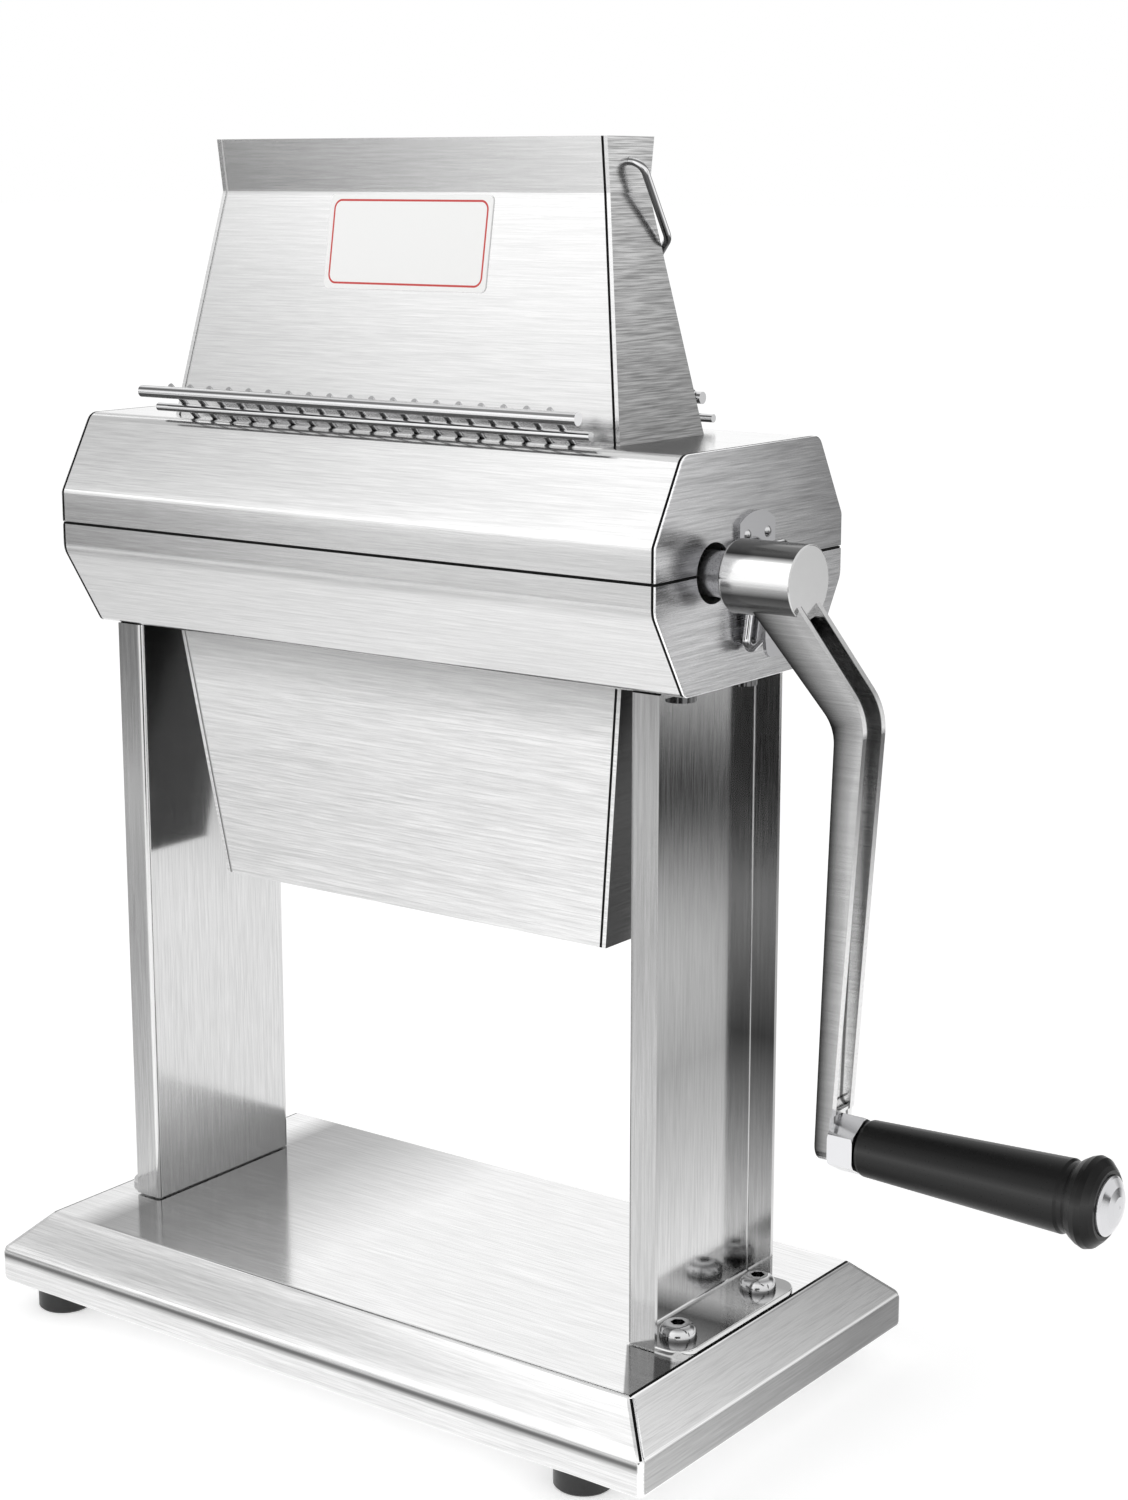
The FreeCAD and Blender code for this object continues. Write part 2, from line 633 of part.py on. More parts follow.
def parting_seal():
    """A seal on the lower half's edge, clear of the cover and open where the crank's shaft passes."""
    low = PARTING - PARTING_GAP / 2
    z = (low, low + PARTING_GAP - SEAL_CLEAR)
    outer_y, inner_y = HEAD_WIDEST - SEAL_DROP, HEAD_WIDEST - SHEET
    outer = box(sides(HEAD_HALF - SEAL_DROP), (-outer_y, outer_y + HEAD_BACK), z)
    inner = box(sides(HEAD_HALF - END_SHEET), (-inner_y, inner_y + HEAD_BACK), z)
    passage = rod_x((0, HEAD_HALF + 1), -AXIS_Y, AXIS_Z, SHAFT_HOLE_R)
    return whole(outer.cut(inner).cut(passage))


def end_beads(half):
    """The beads in both end plates' grooves, in the upper or the lower half."""
    ring = end_groove(BEAD_DROP).common(half)
    return ring.Solids + mirrored(ring, (1, 0, 0)).Solids


def stand_seams():
    chute_beads = corner_grooves(CHUTE, BEAD_DROP).Solids
    return group(base_beads() + chute_beads + end_beads(below()) + [parting_seal()])


def cover_seams():
    hopper_beads = moved(corner_grooves(HOPPER, BEAD_DROP), y=HOPPER_Y).Solids
    return group(hopper_beads + end_beads(above()))


# ---- rollers -----------------------------------------------------------------------------------
def bearing_block():
    """An angle-shaped block that holds one end of both rollers."""
    floor = HEAD_BOTTOM + SHEET
    rear = [(BLOCK_FOOT_HALF + 1.0, floor)] + BLOCK_CORNERS
    upright = prism_x(rear + [(-y, z) for y, z in reversed(rear)], BLOCK_X)
    foot = box((BLOCK_X[0], BLOCK_FOOT_X), sides(BLOCK_FOOT_HALF), (floor, BLOCK_FOOT_TOP))
    bores = [rod_x((BLOCK_X[0] - 1, BLOCK_X[1] + 1), side * AXIS_Y, AXIS_Z, BUSH_R) for side in (-1, 1)]
    screw_x, screw_y = BLOCK_SCREW_AT
    screws = [rod_z(screw_x, side * screw_y, (floor, BLOCK_FOOT_TOP), M6) for side in (-1, 1)]
    return whole(upright.fuse(foot).cut(group(bores + screws)))


def block_screws():
    """Screws up through the legs' tabs into the bearing blocks."""
    radius, height = SCREW_HEAD
    under = HEAD_BOTTOM - SHEET
    socket = prism_z(hexagon(0, 0, HEX_KEY), (under - height, under - height + 2.0))
    head = rod_z(0, 0, (under - height, under), radius).cut(socket)
    return at_corners(whole(head.fuse(rod_z(0, 0, (under, BLOCK_FOOT_TOP), M6))), BLOCK_SCREW_AT)


def shaft_bushes():
    rim, thick = BUSH_FLANGE
    flange = rod_x((BLOCK_X[0] - thick, BLOCK_X[0]), 0, 0, BUSH_R + rim)
    sleeve = rod_x(BLOCK_X, 0, 0, BUSH_R)
    bore = rod_x((BLOCK_X[0] - 2, BLOCK_X[1] + 1), 0, 0, SHAFT_R + RUNNING)
    bush = whole(flange.fuse(sleeve).cut(bore))
    bushes = []
    for one in (bush, mirrored(bush, (1, 0, 0))):
        bushes += [moved(one, y=side * AXIS_Y, z=AXIS_Z) for side in (-1, 1)]
    return group(bushes)


def toothed_outline(teeth, flank, turn=0.0):
    """Points round a wheel; the flank is (radius, tooth's width in parts of the spacing), root first."""
    points = []
    step = 2 * math.pi / teeth
    for k in range(teeth):
        for sign in (-1, 1):
            for radius, share in flank[::-sign]:
                angle = turn + step * (k + sign * share / 2)
                points.append((radius * math.cos(angle), radius * math.sin(angle)))
    return points


def bored(shape, x):
    """A disc or ring with the shaft's bore and, above it, the slot for the key."""
    keyway = box(x, sides(KEY / 2), (0, SHAFT_R + KEY / 2))
    return whole(shape.cut(rod_x(x, 0, 0, SHAFT_R).fuse(keyway)))


def disc_positions(count):
    return [(k - (count - 1) / 2) * PITCH for k in range(count)]


def blades(count, side):
    x = sides(DISC_T / 2)
    outline = toothed_outline(DISC_TEETH, [(DISC_ROOT_R, 0.78), (DISC_R, 0.22)])
    disc = bored(prism_x(outline, x), x)
    return group([moved(disc, place, side * AXIS_Y, AXIS_Z) for place in disc_positions(count)])


def spacers(count, side):
    """Rings between the discs, and a longer one out to the bush at each end."""
    places = disc_positions(count)
    rings = [(a + DISC_T / 2, b - DISC_T / 2) for a, b in zip(places, places[1:])]
    outermost = places[-1] + DISC_T / 2
    end = BLOCK_X[0] - BUSH_FLANGE[1] - SIDE_PLAY
    rings += [(outermost, end), (-end, -outermost)]
    return group([moved(bored(rod_x(x, 0, 0, SPACER_R), x), y=side * AXIS_Y, z=AXIS_Z) for x in rings])


def shaft(side, end):
    """A shaft from the gear end to the given X, with keyways and circlip grooves."""
    body = rod_x((SHAFT_START, end), 0, 0, SHAFT_R)
    ways = [box(x, sides(KEY / 2), (SHAFT_R - KEY / 2, SHAFT_R + 1)) for x in KEY_X]
    grooves = []
    for x in CIRCLIP_X:
        reach = (x, x + CIRCLIP_T)
        grooves.append(rod_x(reach, 0, 0, SHAFT_R + 1).cut(rod_x(reach, 0, 0, GROOVE_R)))
    return moved(whole(body.cut(group(ways + grooves))), y=side * AXIS_Y, z=AXIS_Z)


def keys(side):
    bars = [box(x, sides(KEY / 2), (SHAFT_R - KEY / 2, SHAFT_R + KEY / 2)) for x in KEY_X]
    return group([moved(bar, y=side * AXIS_Y, z=AXIS_Z) for bar in bars])


def circlips(side):
    rings = []
    for x in CIRCLIP_X:
        reach = (x, x + CIRCLIP_T)
        ring = rod_x(reach, 0, 0, CIRCLIP_R).cut(rod_x(reach, 0, 0, GROOVE_R))
        mouth = box(reach, sides(CIRCLIP_MOUTH), (0, CIRCLIP_R + 1))
        rings.append(moved(ring.cut(mouth).Solids[0], y=side * AXIS_Y, z=AXIS_Z))
    return group(rings)


def gear(side):
    """One of the equal pair; the rear one is turned by half a tooth so that they mesh."""
    turn = 0.0 if side < 0 else math.pi / GEAR_TEETH
    widths = [(AXIS_Y - GEAR_ROOT, 1.5), (AXIS_Y, 1.0), (AXIS_Y + GEAR_TIP, 0.45)]
    flank = [(radius, GEAR_TOOTH * width * AXIS_Y / radius) for radius, width in widths]
    wheel = bored(prism_x(toothed_outline(GEAR_TEETH, flank, turn), GEAR_X), GEAR_X)
    return moved(wheel, y=side * AXIS_Y, z=AXIS_Z)


# ---- crank -------------------------------------------------------------------------------------
def crank_hub():
    hub = rod_x(HUB_X, -AXIS_Y, AXIS_Z, HUB_R)
    rims = [e for e in hub.Edges if len(e.Vertexes) == 1]
    inner = [e for e in rims if abs(e.CenterOfMass.x - HUB_X[0]) < 1e-4]
    outer = [e for e in rims if abs(e.CenterOfMass.x - HUB_X[1]) < 1e-4]
    hub = hub.makeFillet(2.0, inner).makeFillet(0.5, outer)
    socket = rod_x((HUB_X[0] - 1, SHAFT_END), -AXIS_Y, AXIS_Z, SHAFT_R)
    return hub.cut(socket).cut(grub_hole()).Solids[0]


def grub_hole():
    x = (HUB_X[0] + SHAFT_END) / 2
    return rod((x, -AXIS_Y + SHAFT_R, AXIS_Z), (x, -AXIS_Y + HUB_R + 1, AXIS_Z), GRUB_R)


def hub_grub_screw():
    x = (HUB_X[0] + SHAFT_END) / 2
    start = -AXIS_Y + SHAFT_R
    body = rod((x, start, AXIS_Z), (x, start + GRUB_LENGTH, AXIS_Z), GRUB_R)
    hole = prism([(px, start + GRUB_LENGTH - 1.8, pz) for px, pz in hexagon(x, AXIS_Z, GRUB_R)], (0, 3, 0))
    return body.cut(hole).Solids[0]


def crank_arm():
    """A channel open to the outside, with a flat eye at the spindle and its top notched for the hub."""
    front, back = -ARM_Y[1], -ARM_Y[0]
    width = back - front
    channel = rounded_outline(ARM_SIDE, front).extrude(V(0, width, 0))
    groove = rounded_outline(ARM_GROOVE, front + ARM_FLANGE).extrude(V(0, width - 2 * ARM_FLANGE, 0))
    below_spindle = box(ARM_X, (front - 1, back + 1), (0, SPINDLE_Z))
    beyond_eye = below_spindle.cut(rod_x(ARM_X, -AXIS_Y, SPINDLE_Z, width / 2))
    nut_top = SPINDLE_Z + NUT_FLATS / math.sqrt(3) + 0.3
    beside_nut = box((NUT_X[0], ARM_X[1]), (front - 1, back + 1), (0, nut_top))
    cutters = [groove, beyond_eye, beside_nut, rod_x(HUB_X, -AXIS_Y, AXIS_Z, HUB_R),
               rod_x(ARM_X, -AXIS_Y, SPINDLE_Z, SPINDLE_R)]
    for cutter in cutters:
        channel = channel.cut(cutter)
    return max(channel.removeSplitter().Solids, key=lambda solid: solid.Volume)


def grip_spindle():
    radius, thick = SPINDLE_HEAD
    seat = GRIP_POCKET[0] + 0.3
    pin = rod_x((SPINDLE_START, seat), -AXIS_Y, SPINDLE_Z, SPINDLE_R)
    head = rod_x((seat, seat + thick), -AXIS_Y, SPINDLE_Z, radius)
    return whole(pin.fuse(head))


def spindle_nut():
    y_z = [(y - AXIS_Y, z + SPINDLE_Z) for z, y in hexagon(0, 0, NUT_FLATS)]
    body = prism_x(y_z, NUT_X)
    wide, narrow, slope = NUT_CHAMFER
    start, end = NUT_X
    profile = [(start, 0), (start, narrow), (start + slope, wide), (end - slope, wide), (end, narrow), (end, 0)]
    cone = turned(profile, -AXIS_Y, SPINDLE_Z)
    return whole(body.common(cone).cut(rod_x(ARM_X, -AXIS_Y, SPINDLE_Z, SPINDLE_R)))


def grip_sleeve():
    start, end = GRIP_X
    points = [(start, 7.6), (start + 0.5, GRIP_SMALL_R - 0.5), (start + 1.6, GRIP_SMALL_R),
              (end - 13.0, GRIP_LARGE_R), (end - 12.0, GRIP_LARGE_R - 0.6), (end - 10.4, GRIP_LARGE_R - 0.5),
              (end - 8.6, GRIP_LARGE_R + 0.9), (end - 6.6, GRIP_FLANGE_R - 0.6), (end - 4.8, GRIP_FLANGE_R),
              (end - 3.0, GRIP_FLANGE_R - 0.5), (end - 1.0, GRIP_FLANGE_R - 2.4), (end, CAP_R + 1.4),
              (end, CAP_R + 0.2), (end - 1.2, CAP_R + 0.2), (end - 1.2, GRIP_POCKET[1]),
              (GRIP_POCKET[0], GRIP_POCKET[1]), (GRIP_POCKET[0], GRIP_BORE_R), (start, GRIP_BORE_R)]
    return turned(points, -AXIS_Y, SPINDLE_Z)


def grip_cap():
    """A bare domed cap pressed into the end of the grip."""
    seat = GRIP_X[1] - 1.2
    points = [(seat - 6.0, 0), (seat - 6.0, GRIP_POCKET[1]), (seat, GRIP_POCKET[1]), (seat, CAP_R),
              (seat + 2.0, CAP_R), (seat + 2.6, CAP_R - 0.6), (CAP_END - 1.0, CAP_R - 3.2),
              (CAP_END - 0.3, CAP_R - 6.0), (CAP_END, 0)]
    return turned(points, -AXIS_Y, SPINDLE_Z)


# ---- combs and bail ----------------------------------------------------------------------------
def comb(side, halves):
    """Tines lying across two notched rods and welded to them; side is -1 in front and 1 behind."""
    top = tine_place(-TINE_TIP, side)
    end = tine_place(TINE_LENGTH, side)
    tines = [rod((x, *top), (x, *end), TINE_R) for x in tine_positions(side)]
    angle = math.radians(TINE_ANGLE)
    outward = (side * math.sin(angle), -math.cos(angle))
    shift = 0 if side < 0 else -PITCH / 2
    rods = []
    for (distance, radius), half in zip(COMB_RODS, halves):
        y, z = tine_place(distance, side)
        gap = radius + TINE_R - TINE_BITE
        y, z = y + outward[0] * gap, z + outward[1] * gap
        rods.append(whole(rod_x((shift - half, shift + half), y, z, radius).cut(group(tines))))
    return group(rods + tines)


def bail_point(x, distance):
    lean = math.radians(BAIL_SLANT)
    y, z = BAIL_PIVOT
    return (x, y + distance * math.sin(lean), z - distance * math.cos(lean))


def bail_handle():
    left = [bail_point(-x, distance) for x, distance in BAIL_HALF]
    right = [bail_point(x, distance) for x, distance in reversed(BAIL_HALF)]
    return path_rod(left + right, BAIL_R, BAIL_BEND)


# ---- latches, modelled on the crank side -------------------------------------------------------
def catch_plate():
    face = HEAD_HALF
    low, high = CATCH_Z
    shoulder = high - CATCH_SHOULDER
    left, right = LATCH_Y - CATCH_HALF, LATCH_Y + CATCH_HALF
    corners = [V(face, left, shoulder), V(face, left, low), V(face, right, low), V(face, right, shoulder)]
    edges = [Part.makeLine(a, b) for a, b in zip(corners, corners[1:])]
    edges.append(Part.Arc(corners[-1], V(face, LATCH_Y, high), corners[0]).toShape())
    inner, outer, lip_top = HOOK
    plate = Part.Face(Part.Wire(edges)).extrude(V(inner, 0, 0))
    width = (LATCH_Y - HOOK_HALF, LATCH_Y + HOOK_HALF)
    shelf = box((face + inner, face + outer), width, (low, low + HOOK_SHEET))
    lip = box((face + outer - HOOK_SHEET, face + outer), width, (low, lip_top))
    return whole(plate.fuse(shelf).fuse(lip))


def rivet(x, y, z):
    """A domed rivet head on an upright face."""
    dome = Part.makeSphere(RIVET_R * 1.25, V(x - RIVET_R * 0.75, y, z))
    return dome.common(box((x, x + 5), (y - 5, y + 5), (z - 5, z + 5))).Solids[0]


def both_ends(shapes):
    return group(shapes + [mirrored(shape, (1, 0, 0)) for shape in shapes])


def catch_rivets():
    face = HEAD_HALF + HOOK[0]
    away, z = CATCH_RIVET
    return both_ends([rivet(face, LATCH_Y + dy, z) for dy in sides(away)])


def latch_rivets():
    face = HEAD_HALF + SHEET
    return both_ends([rivet(face, LATCH_Y, z) for z in LATCH_RIVET_Z])


def latch_base():
    face = HEAD_HALF
    half, low, high = LATCH_PLATE
    plate = box((face, face + SHEET), (LATCH_Y - half, LATCH_Y + half), (low, high))
    plate = plate.makeFillet(2.5, edges_along(plate, "x"))
    x, z = LATCH_PIVOT
    parts = [plate]
    for side in (-1, 1):
        y = sorted(LATCH_Y + side * edge for edge in EAR_Y)
        parts.append(box((face, face + x), y, (z - EAR_R, z + EAR_R)))
        parts.append(rod((face + x, y[0], z), (face + x, y[1], z), EAR_R))
    shape = parts[0].multiFuse(parts[1:])
    pin_hole = rod((face + x, LATCH_Y - 8, z), (face + x, LATCH_Y + 8, z), LATCH_PIN_R)
    return whole(shape.cut(pin_hole))


def latch_pin():
    x, z = LATCH_PIVOT
    half = LEVER_HALF + 0.5
    return rod((HEAD_HALF + x, LATCH_Y - half, z), (HEAD_HALF + x, LATCH_Y + half, z), LATCH_PIN_R)


def latch_lever():
    """A lever of U section with its tail down: two ears on the pin, a front and a flared tail."""
    x, z = LATCH_PIVOT
    loop_x, loop_z = LOOP_PIVOT
    face = HEAD_HALF
    front = (face + LEVER_FRONT, face + LEVER_FRONT + LEVER_SHEET)
    width = (LATCH_Y - LEVER_HALF, LATCH_Y + LEVER_HALF)
    parts = [box(front, width, (LEVER_LOW, z - 2.0))]
    cheek = [(x - 1.5, z - 2.0), (front[1] - face, z - 2.0), (front[1] - face, LEVER_LOW),
             (loop_x + 1.4, loop_z - 1.9), (loop_x - 2.2, loop_z + 0.9)]
    for side in (-1, 1):
        y = sorted((LATCH_Y + side * (LEVER_HALF - LEVER_SHEET), LATCH_Y + side * LEVER_HALF))
        parts.append(rod((face + x, y[0], z), (face + x, y[1], z), LEVER_EAR_R))
        parts.append(rod((face + loop_x, y[0], loop_z), (face + loop_x, y[1], loop_z), LOOP_EAR_R))
        parts.append(prism([(face + cx, y[0], cz) for cx, cz in cheek], (0, y[1] - y[0], 0)))
        parts.append(box((face + x - 1.5, face + x + 2.2), y, (z - 2.5, z)))
    flare, end_z, corner = TAIL
    y = width[0]
    tail = prism([(front[0], y, LEVER_LOW), (front[1], y, LEVER_LOW), (front[1] + flare, y, end_z),
                  (front[0] + flare, y, end_z)], (0, width[1] - y, 0))
    tail = tail.makeFillet(corner, [e for e in edges_along(tail, "x") if abs(e.CenterOfMass.z - end_z) < 0.1])
    shape = parts[0].multiFuse(parts[1:] + [tail])
    bores = [rod((face + x, LATCH_Y - 9, z), (face + x, LATCH_Y + 9, z), LATCH_PIN_R + RUNNING),
             rod((face + loop_x, LATCH_Y - 9, loop_z), (face + loop_x, LATCH_Y + 9, loop_z), LOOP_R + RUNNING)]
    return whole(shape.cut(group(bores)))


def latch_loop():
    """A closed wire loop, hinged in the lever and hanging just in front of the hook."""
    (low_x, low_z), (high_x, high_z) = LOOP_PIVOT, LOOP_TOP
    halves = []
    for y in (LATCH_Y - LOOP_HALF, LATCH_Y + LOOP_HALF):
        path = [(low_x, LATCH_Y, low_z), (low_x, y, low_z), (high_x, y, high_z), (high_x, LATCH_Y, high_z)]
        halves.append(path_rod([(HEAD_HALF + px, py, pz) for px, py, pz in path], LOOP_R, LOOP_BEND))
    return whole(halves[0].fuse(halves[1]))


# ---- assembly ----------------------------------------------------------------------------------
def two_sided(name, shape):
    """A right and a left node from a shape on the crank side."""
    return {name + "_right": shape, name + "_left": mirrored(shape, (1, 0, 0))}


def machine():
    front, rear = -1, 1
    nodes = {
        "base_tray": base_tray(),
        "rubber_feet": rubber_feet(),
        "foot_screws": foot_screws(),
        "foot_nuts": at_feet(nut(FOOT_HEIGHT + SHEET)),
        "leg_bolts": at_corners(leg_bolt(), LEG_BOLT_AT),
        "leg_nuts": at_corners(nut(BASE_TOP - SHEET - M6_NUT[1]), LEG_BOLT_AT),
        "lower_housing": lower_housing(),
        "chute": chute(),
        "locating_strips": locating_strips(),
        "cover_seats": cover_seats(),
        "stand_seams": stand_seams(),
        "block_screws": block_screws(),
        "shaft_bushes": shaft_bushes(),
        "latch_pins": both_ends([latch_pin()]),
        "latch_rivets": latch_rivets(),
        "upper_housing": upper_housing(),
        "hopper": hopper(),
        "cover_seams": cover_seams(),
        "label_plate": label_plate(),
        "catch_rivets": catch_rivets(),
        "front_comb": comb(front, COMB_HALF["front"]),
        "rear_comb": comb(rear, COMB_HALF["rear"]),
        "bail_handle": bail_handle(),
        "front_shaft": shaft(front, SHAFT_END),
        "rear_shaft": shaft(rear, REAR_SHAFT_END),
        "crank_hub": crank_hub(),
        "hub_grub_screw": hub_grub_screw(),
        "crank_arm": crank_arm(),
        "grip_spindle": grip_spindle(),
        "spindle_nut": spindle_nut(),
        "grip_sleeve": grip_sleeve(),
        "grip_cap": grip_cap(),
        "foot_plate_right": foot_plate(LEG_HALF - SHEET, LEG_HALF),
        "foot_plate_left": mirrored(foot_plate(LEFT_PLATE_HALF, LEFT_PLATE_HALF), (1, 0, 0)),
    }
    for name, side, count in (("front", front, DISCS_FRONT), ("rear", rear, DISCS_REAR)):
        nodes[name + "_blades"] = blades(count, side)
        nodes[name + "_spacers"] = spacers(count, side)
        nodes[name + "_keys"] = keys(side)
        nodes[name + "_circlips"] = circlips(side)
        nodes[name + "_gear"] = gear(side)
    for name, shape in (("leg", leg()), ("lower_end", lower_end()),
                        ("upper_end", upper_end()), ("bearing_block", bearing_block()),
                        ("catch_plate", catch_plate()), ("latch_base", latch_base()),
                        ("latch_lever", latch_lever()), ("latch_loop", latch_loop())):
        nodes.update(two_sided(name, shape))
    hole = rod_x((HEAD_HALF - 10, HEAD_HALF + 10), -AXIS_Y, AXIS_Z, SHAFT_HOLE_R)
    for name in ("upper_end_right", "lower_end_right"):
        nodes[name] = whole(nodes[name].cut(hole))
    return nodes


def main():
    os.makedirs("parts", exist_ok=True)
    to_centre = -(CAP_END - BASE_LIP[0]) / 2
    for name, shape in machine().items():
        moved(shape, x=to_centre).exportStep("parts/" + name + ".step")
    print("origin is %.3f mm towards the crank from the stand's centre" % -to_centre)


main()
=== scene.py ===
"""Looks of a hand-cranked meat tenderizer: brushed and polished stainless steel, a black grip, rubber feet.

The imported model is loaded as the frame. Its nodes get procedural materials, and the legs' bolts are modelled
anew. Metres, X along the rollers towards the crank, Y to the back, Z up. The shades below read places in
millimetres from the middle of the stand's foot, because the sheets' folds and edges are measured from there.

A shade is a factor on a steel's colour. It stands for what the polished sheet mirrors in a studio: a leg in
the base, the hopper in the head's top, a dark room under the head.
"""
import math

import bpy
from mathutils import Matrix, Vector


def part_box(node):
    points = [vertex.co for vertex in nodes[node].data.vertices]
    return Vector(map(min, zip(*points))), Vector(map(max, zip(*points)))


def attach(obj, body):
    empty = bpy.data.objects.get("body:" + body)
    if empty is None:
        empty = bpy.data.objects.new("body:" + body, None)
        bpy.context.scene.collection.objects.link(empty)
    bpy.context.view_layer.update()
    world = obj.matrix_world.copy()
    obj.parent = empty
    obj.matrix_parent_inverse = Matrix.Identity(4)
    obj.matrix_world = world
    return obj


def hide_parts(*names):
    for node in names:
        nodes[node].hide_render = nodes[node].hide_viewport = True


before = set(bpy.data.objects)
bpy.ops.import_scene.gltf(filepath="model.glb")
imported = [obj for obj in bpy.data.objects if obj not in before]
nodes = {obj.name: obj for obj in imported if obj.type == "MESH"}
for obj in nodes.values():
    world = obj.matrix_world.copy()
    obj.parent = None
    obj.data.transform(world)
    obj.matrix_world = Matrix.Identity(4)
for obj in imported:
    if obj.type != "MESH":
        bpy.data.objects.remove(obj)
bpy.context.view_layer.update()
MM = 0.001
STAND_X = -65.65 * MM          # the stand's middle, along X


# ---- node and colour helpers -------------------------------------------------------------------
def linear(hex_colour):
    """An sRGB hex value as linear red, green, blue and alpha."""
    channels = [int(hex_colour[i:i + 2], 16) / 255 for i in (1, 3, 5)]
    return [c / 12.92 if c <= 0.04045 else ((c + 0.055) / 1.055) ** 2.4 for c in channels] + [1.0]


def add(tree, kind, settings=None, **inputs):
    """Adds one node. Settings are its properties.

    Inputs are named, or numbered as _0, _1 and so on. Each is a value, a socket to link, or a node whose
    first output is linked.
    """
    node = tree.nodes.new(kind)
    for name, value in (settings or {}).items():
        setattr(node, name, value)
    for name, value in inputs.items():
        key = int(name[1:]) if name[0] == "_" else name.replace("_", " ")
        if isinstance(value, bpy.types.Node):
            value = value.outputs[0]
        if isinstance(value, bpy.types.NodeSocket):
            tree.links.new(value, node.inputs[key])
        else:
            node.inputs[key].default_value = value
    return node


def shaded(name):
    """A new material with only its output node, and the output's surface socket."""
    material = bpy.data.materials.new(name)
    material.use_nodes = True
    material.node_tree.nodes.clear()
    output = material.node_tree.nodes.new("ShaderNodeOutputMaterial")
    return material, material.node_tree, output.inputs["Surface"]


def follow(tree, value, *stops):
    """A level that follows a value through (value, level) stops, and is flat before the first and after the
    last. With more than two stops the levels lie between 0 and 1."""
    (first, first_level), (last, last_level) = stops[0], stops[-1]
    if len(stops) == 2:
        return add(tree, "ShaderNodeMapRange", _0=value, _1=first, _2=last, _3=first_level, _4=last_level)
    curve = add(tree, "ShaderNodeValToRGB", _0=add(tree, "ShaderNodeMapRange", _0=value, _1=first, _2=last))
    marks = curve.color_ramp.elements
    while len(marks) < len(stops):
        marks.new(1.0)
    for mark, (position, level) in zip(marks, stops):
        mark.position = (position - first) / (last - first)
        mark.color = (level, level, level, 1)
    return curve


def grain_size(axis, across, along):
    """The size along X, Y and Z of a grain that lies along one axis."""
    return [along if name == axis else across for name in "XYZ"]


def streaks(tree, place, lengths):
    """A noise value whose grains have the given size along X, Y and Z, in millimetres."""
    scale = [1 / (length * MM) for length in lengths]
    moved = add(tree, "ShaderNodeMapping", _0=place.outputs["Object"], Scale=scale)
    return add(tree, "ShaderNodeTexNoise", Vector=moved, Scale=1.0, Detail=2.0, Roughness=0.55)


def from_middle(tree, place):
    """The place in millimetres from the middle of the stand's foot."""
    moved = add(tree, "ShaderNodeVectorMath", {"operation": "SUBTRACT"}, _0=place.outputs["Object"],
                _1=(STAND_X, 0, 0))
    return add(tree, "ShaderNodeVectorMath", {"operation": "SCALE"}, _0=moved, Scale=1 / MM)


def spots(tree, place):
    """The same as three values: how far along, how deep and how high."""
    return add(tree, "ShaderNodeSeparateXYZ", _0=from_middle(tree, place)).outputs[:3]


def facing(tree, place, axis):
    """How much a face looks along an axis (0 is X, 1 is Y, 2 is Z): from -1 to 1."""
    return add(tree, "ShaderNodeSeparateXYZ", _0=place.outputs["Normal"]).outputs[axis]


def faces_sideways(tree, place):
    """1 on faces that look left or right, also when they slant, and 0 elsewhere."""
    turn = add(tree, "ShaderNodeMath", {"operation": "ABSOLUTE"}, _0=facing(tree, place, 0))
    return add(tree, "ShaderNodeMath", {"operation": "GREATER_THAN"}, _0=turn, _1=0.3)


def looks_up(tree, place):
    """0 on faces that look down, 0.5 on upright ones and 1 on those that look up."""
    return follow(tree, facing(tree, place, 2), (-1, 0), (1, 1))


def flat_top(tree, place):
    """1 on level faces that look up, and 0 elsewhere."""
    return follow(tree, looks_up(tree, place), (0.97, 0), (0.99, 1))


SLANT = 0.66      # how far along the image of an upright edge in a level sheet runs, for each step forwards


def seen_slantwise(tree, along, depth):
    """The place along where an upright edge's image in a level sheet crosses the middle. The image runs to
    the front and towards the crank."""
    return add(tree, "ShaderNodeMath", {"operation": "MULTIPLY_ADD"}, _0=depth, _1=SLANT, _2=along)


# ---- kinds of surface --------------------------------------------------------------------------
GRAINS = ((0.4, 14.0), (0.9, 45.0))     # width and length of fine and of broad scratches, in millimetres
BROAD_SHARE = 0.45                      # how much of the tone the broad ones give


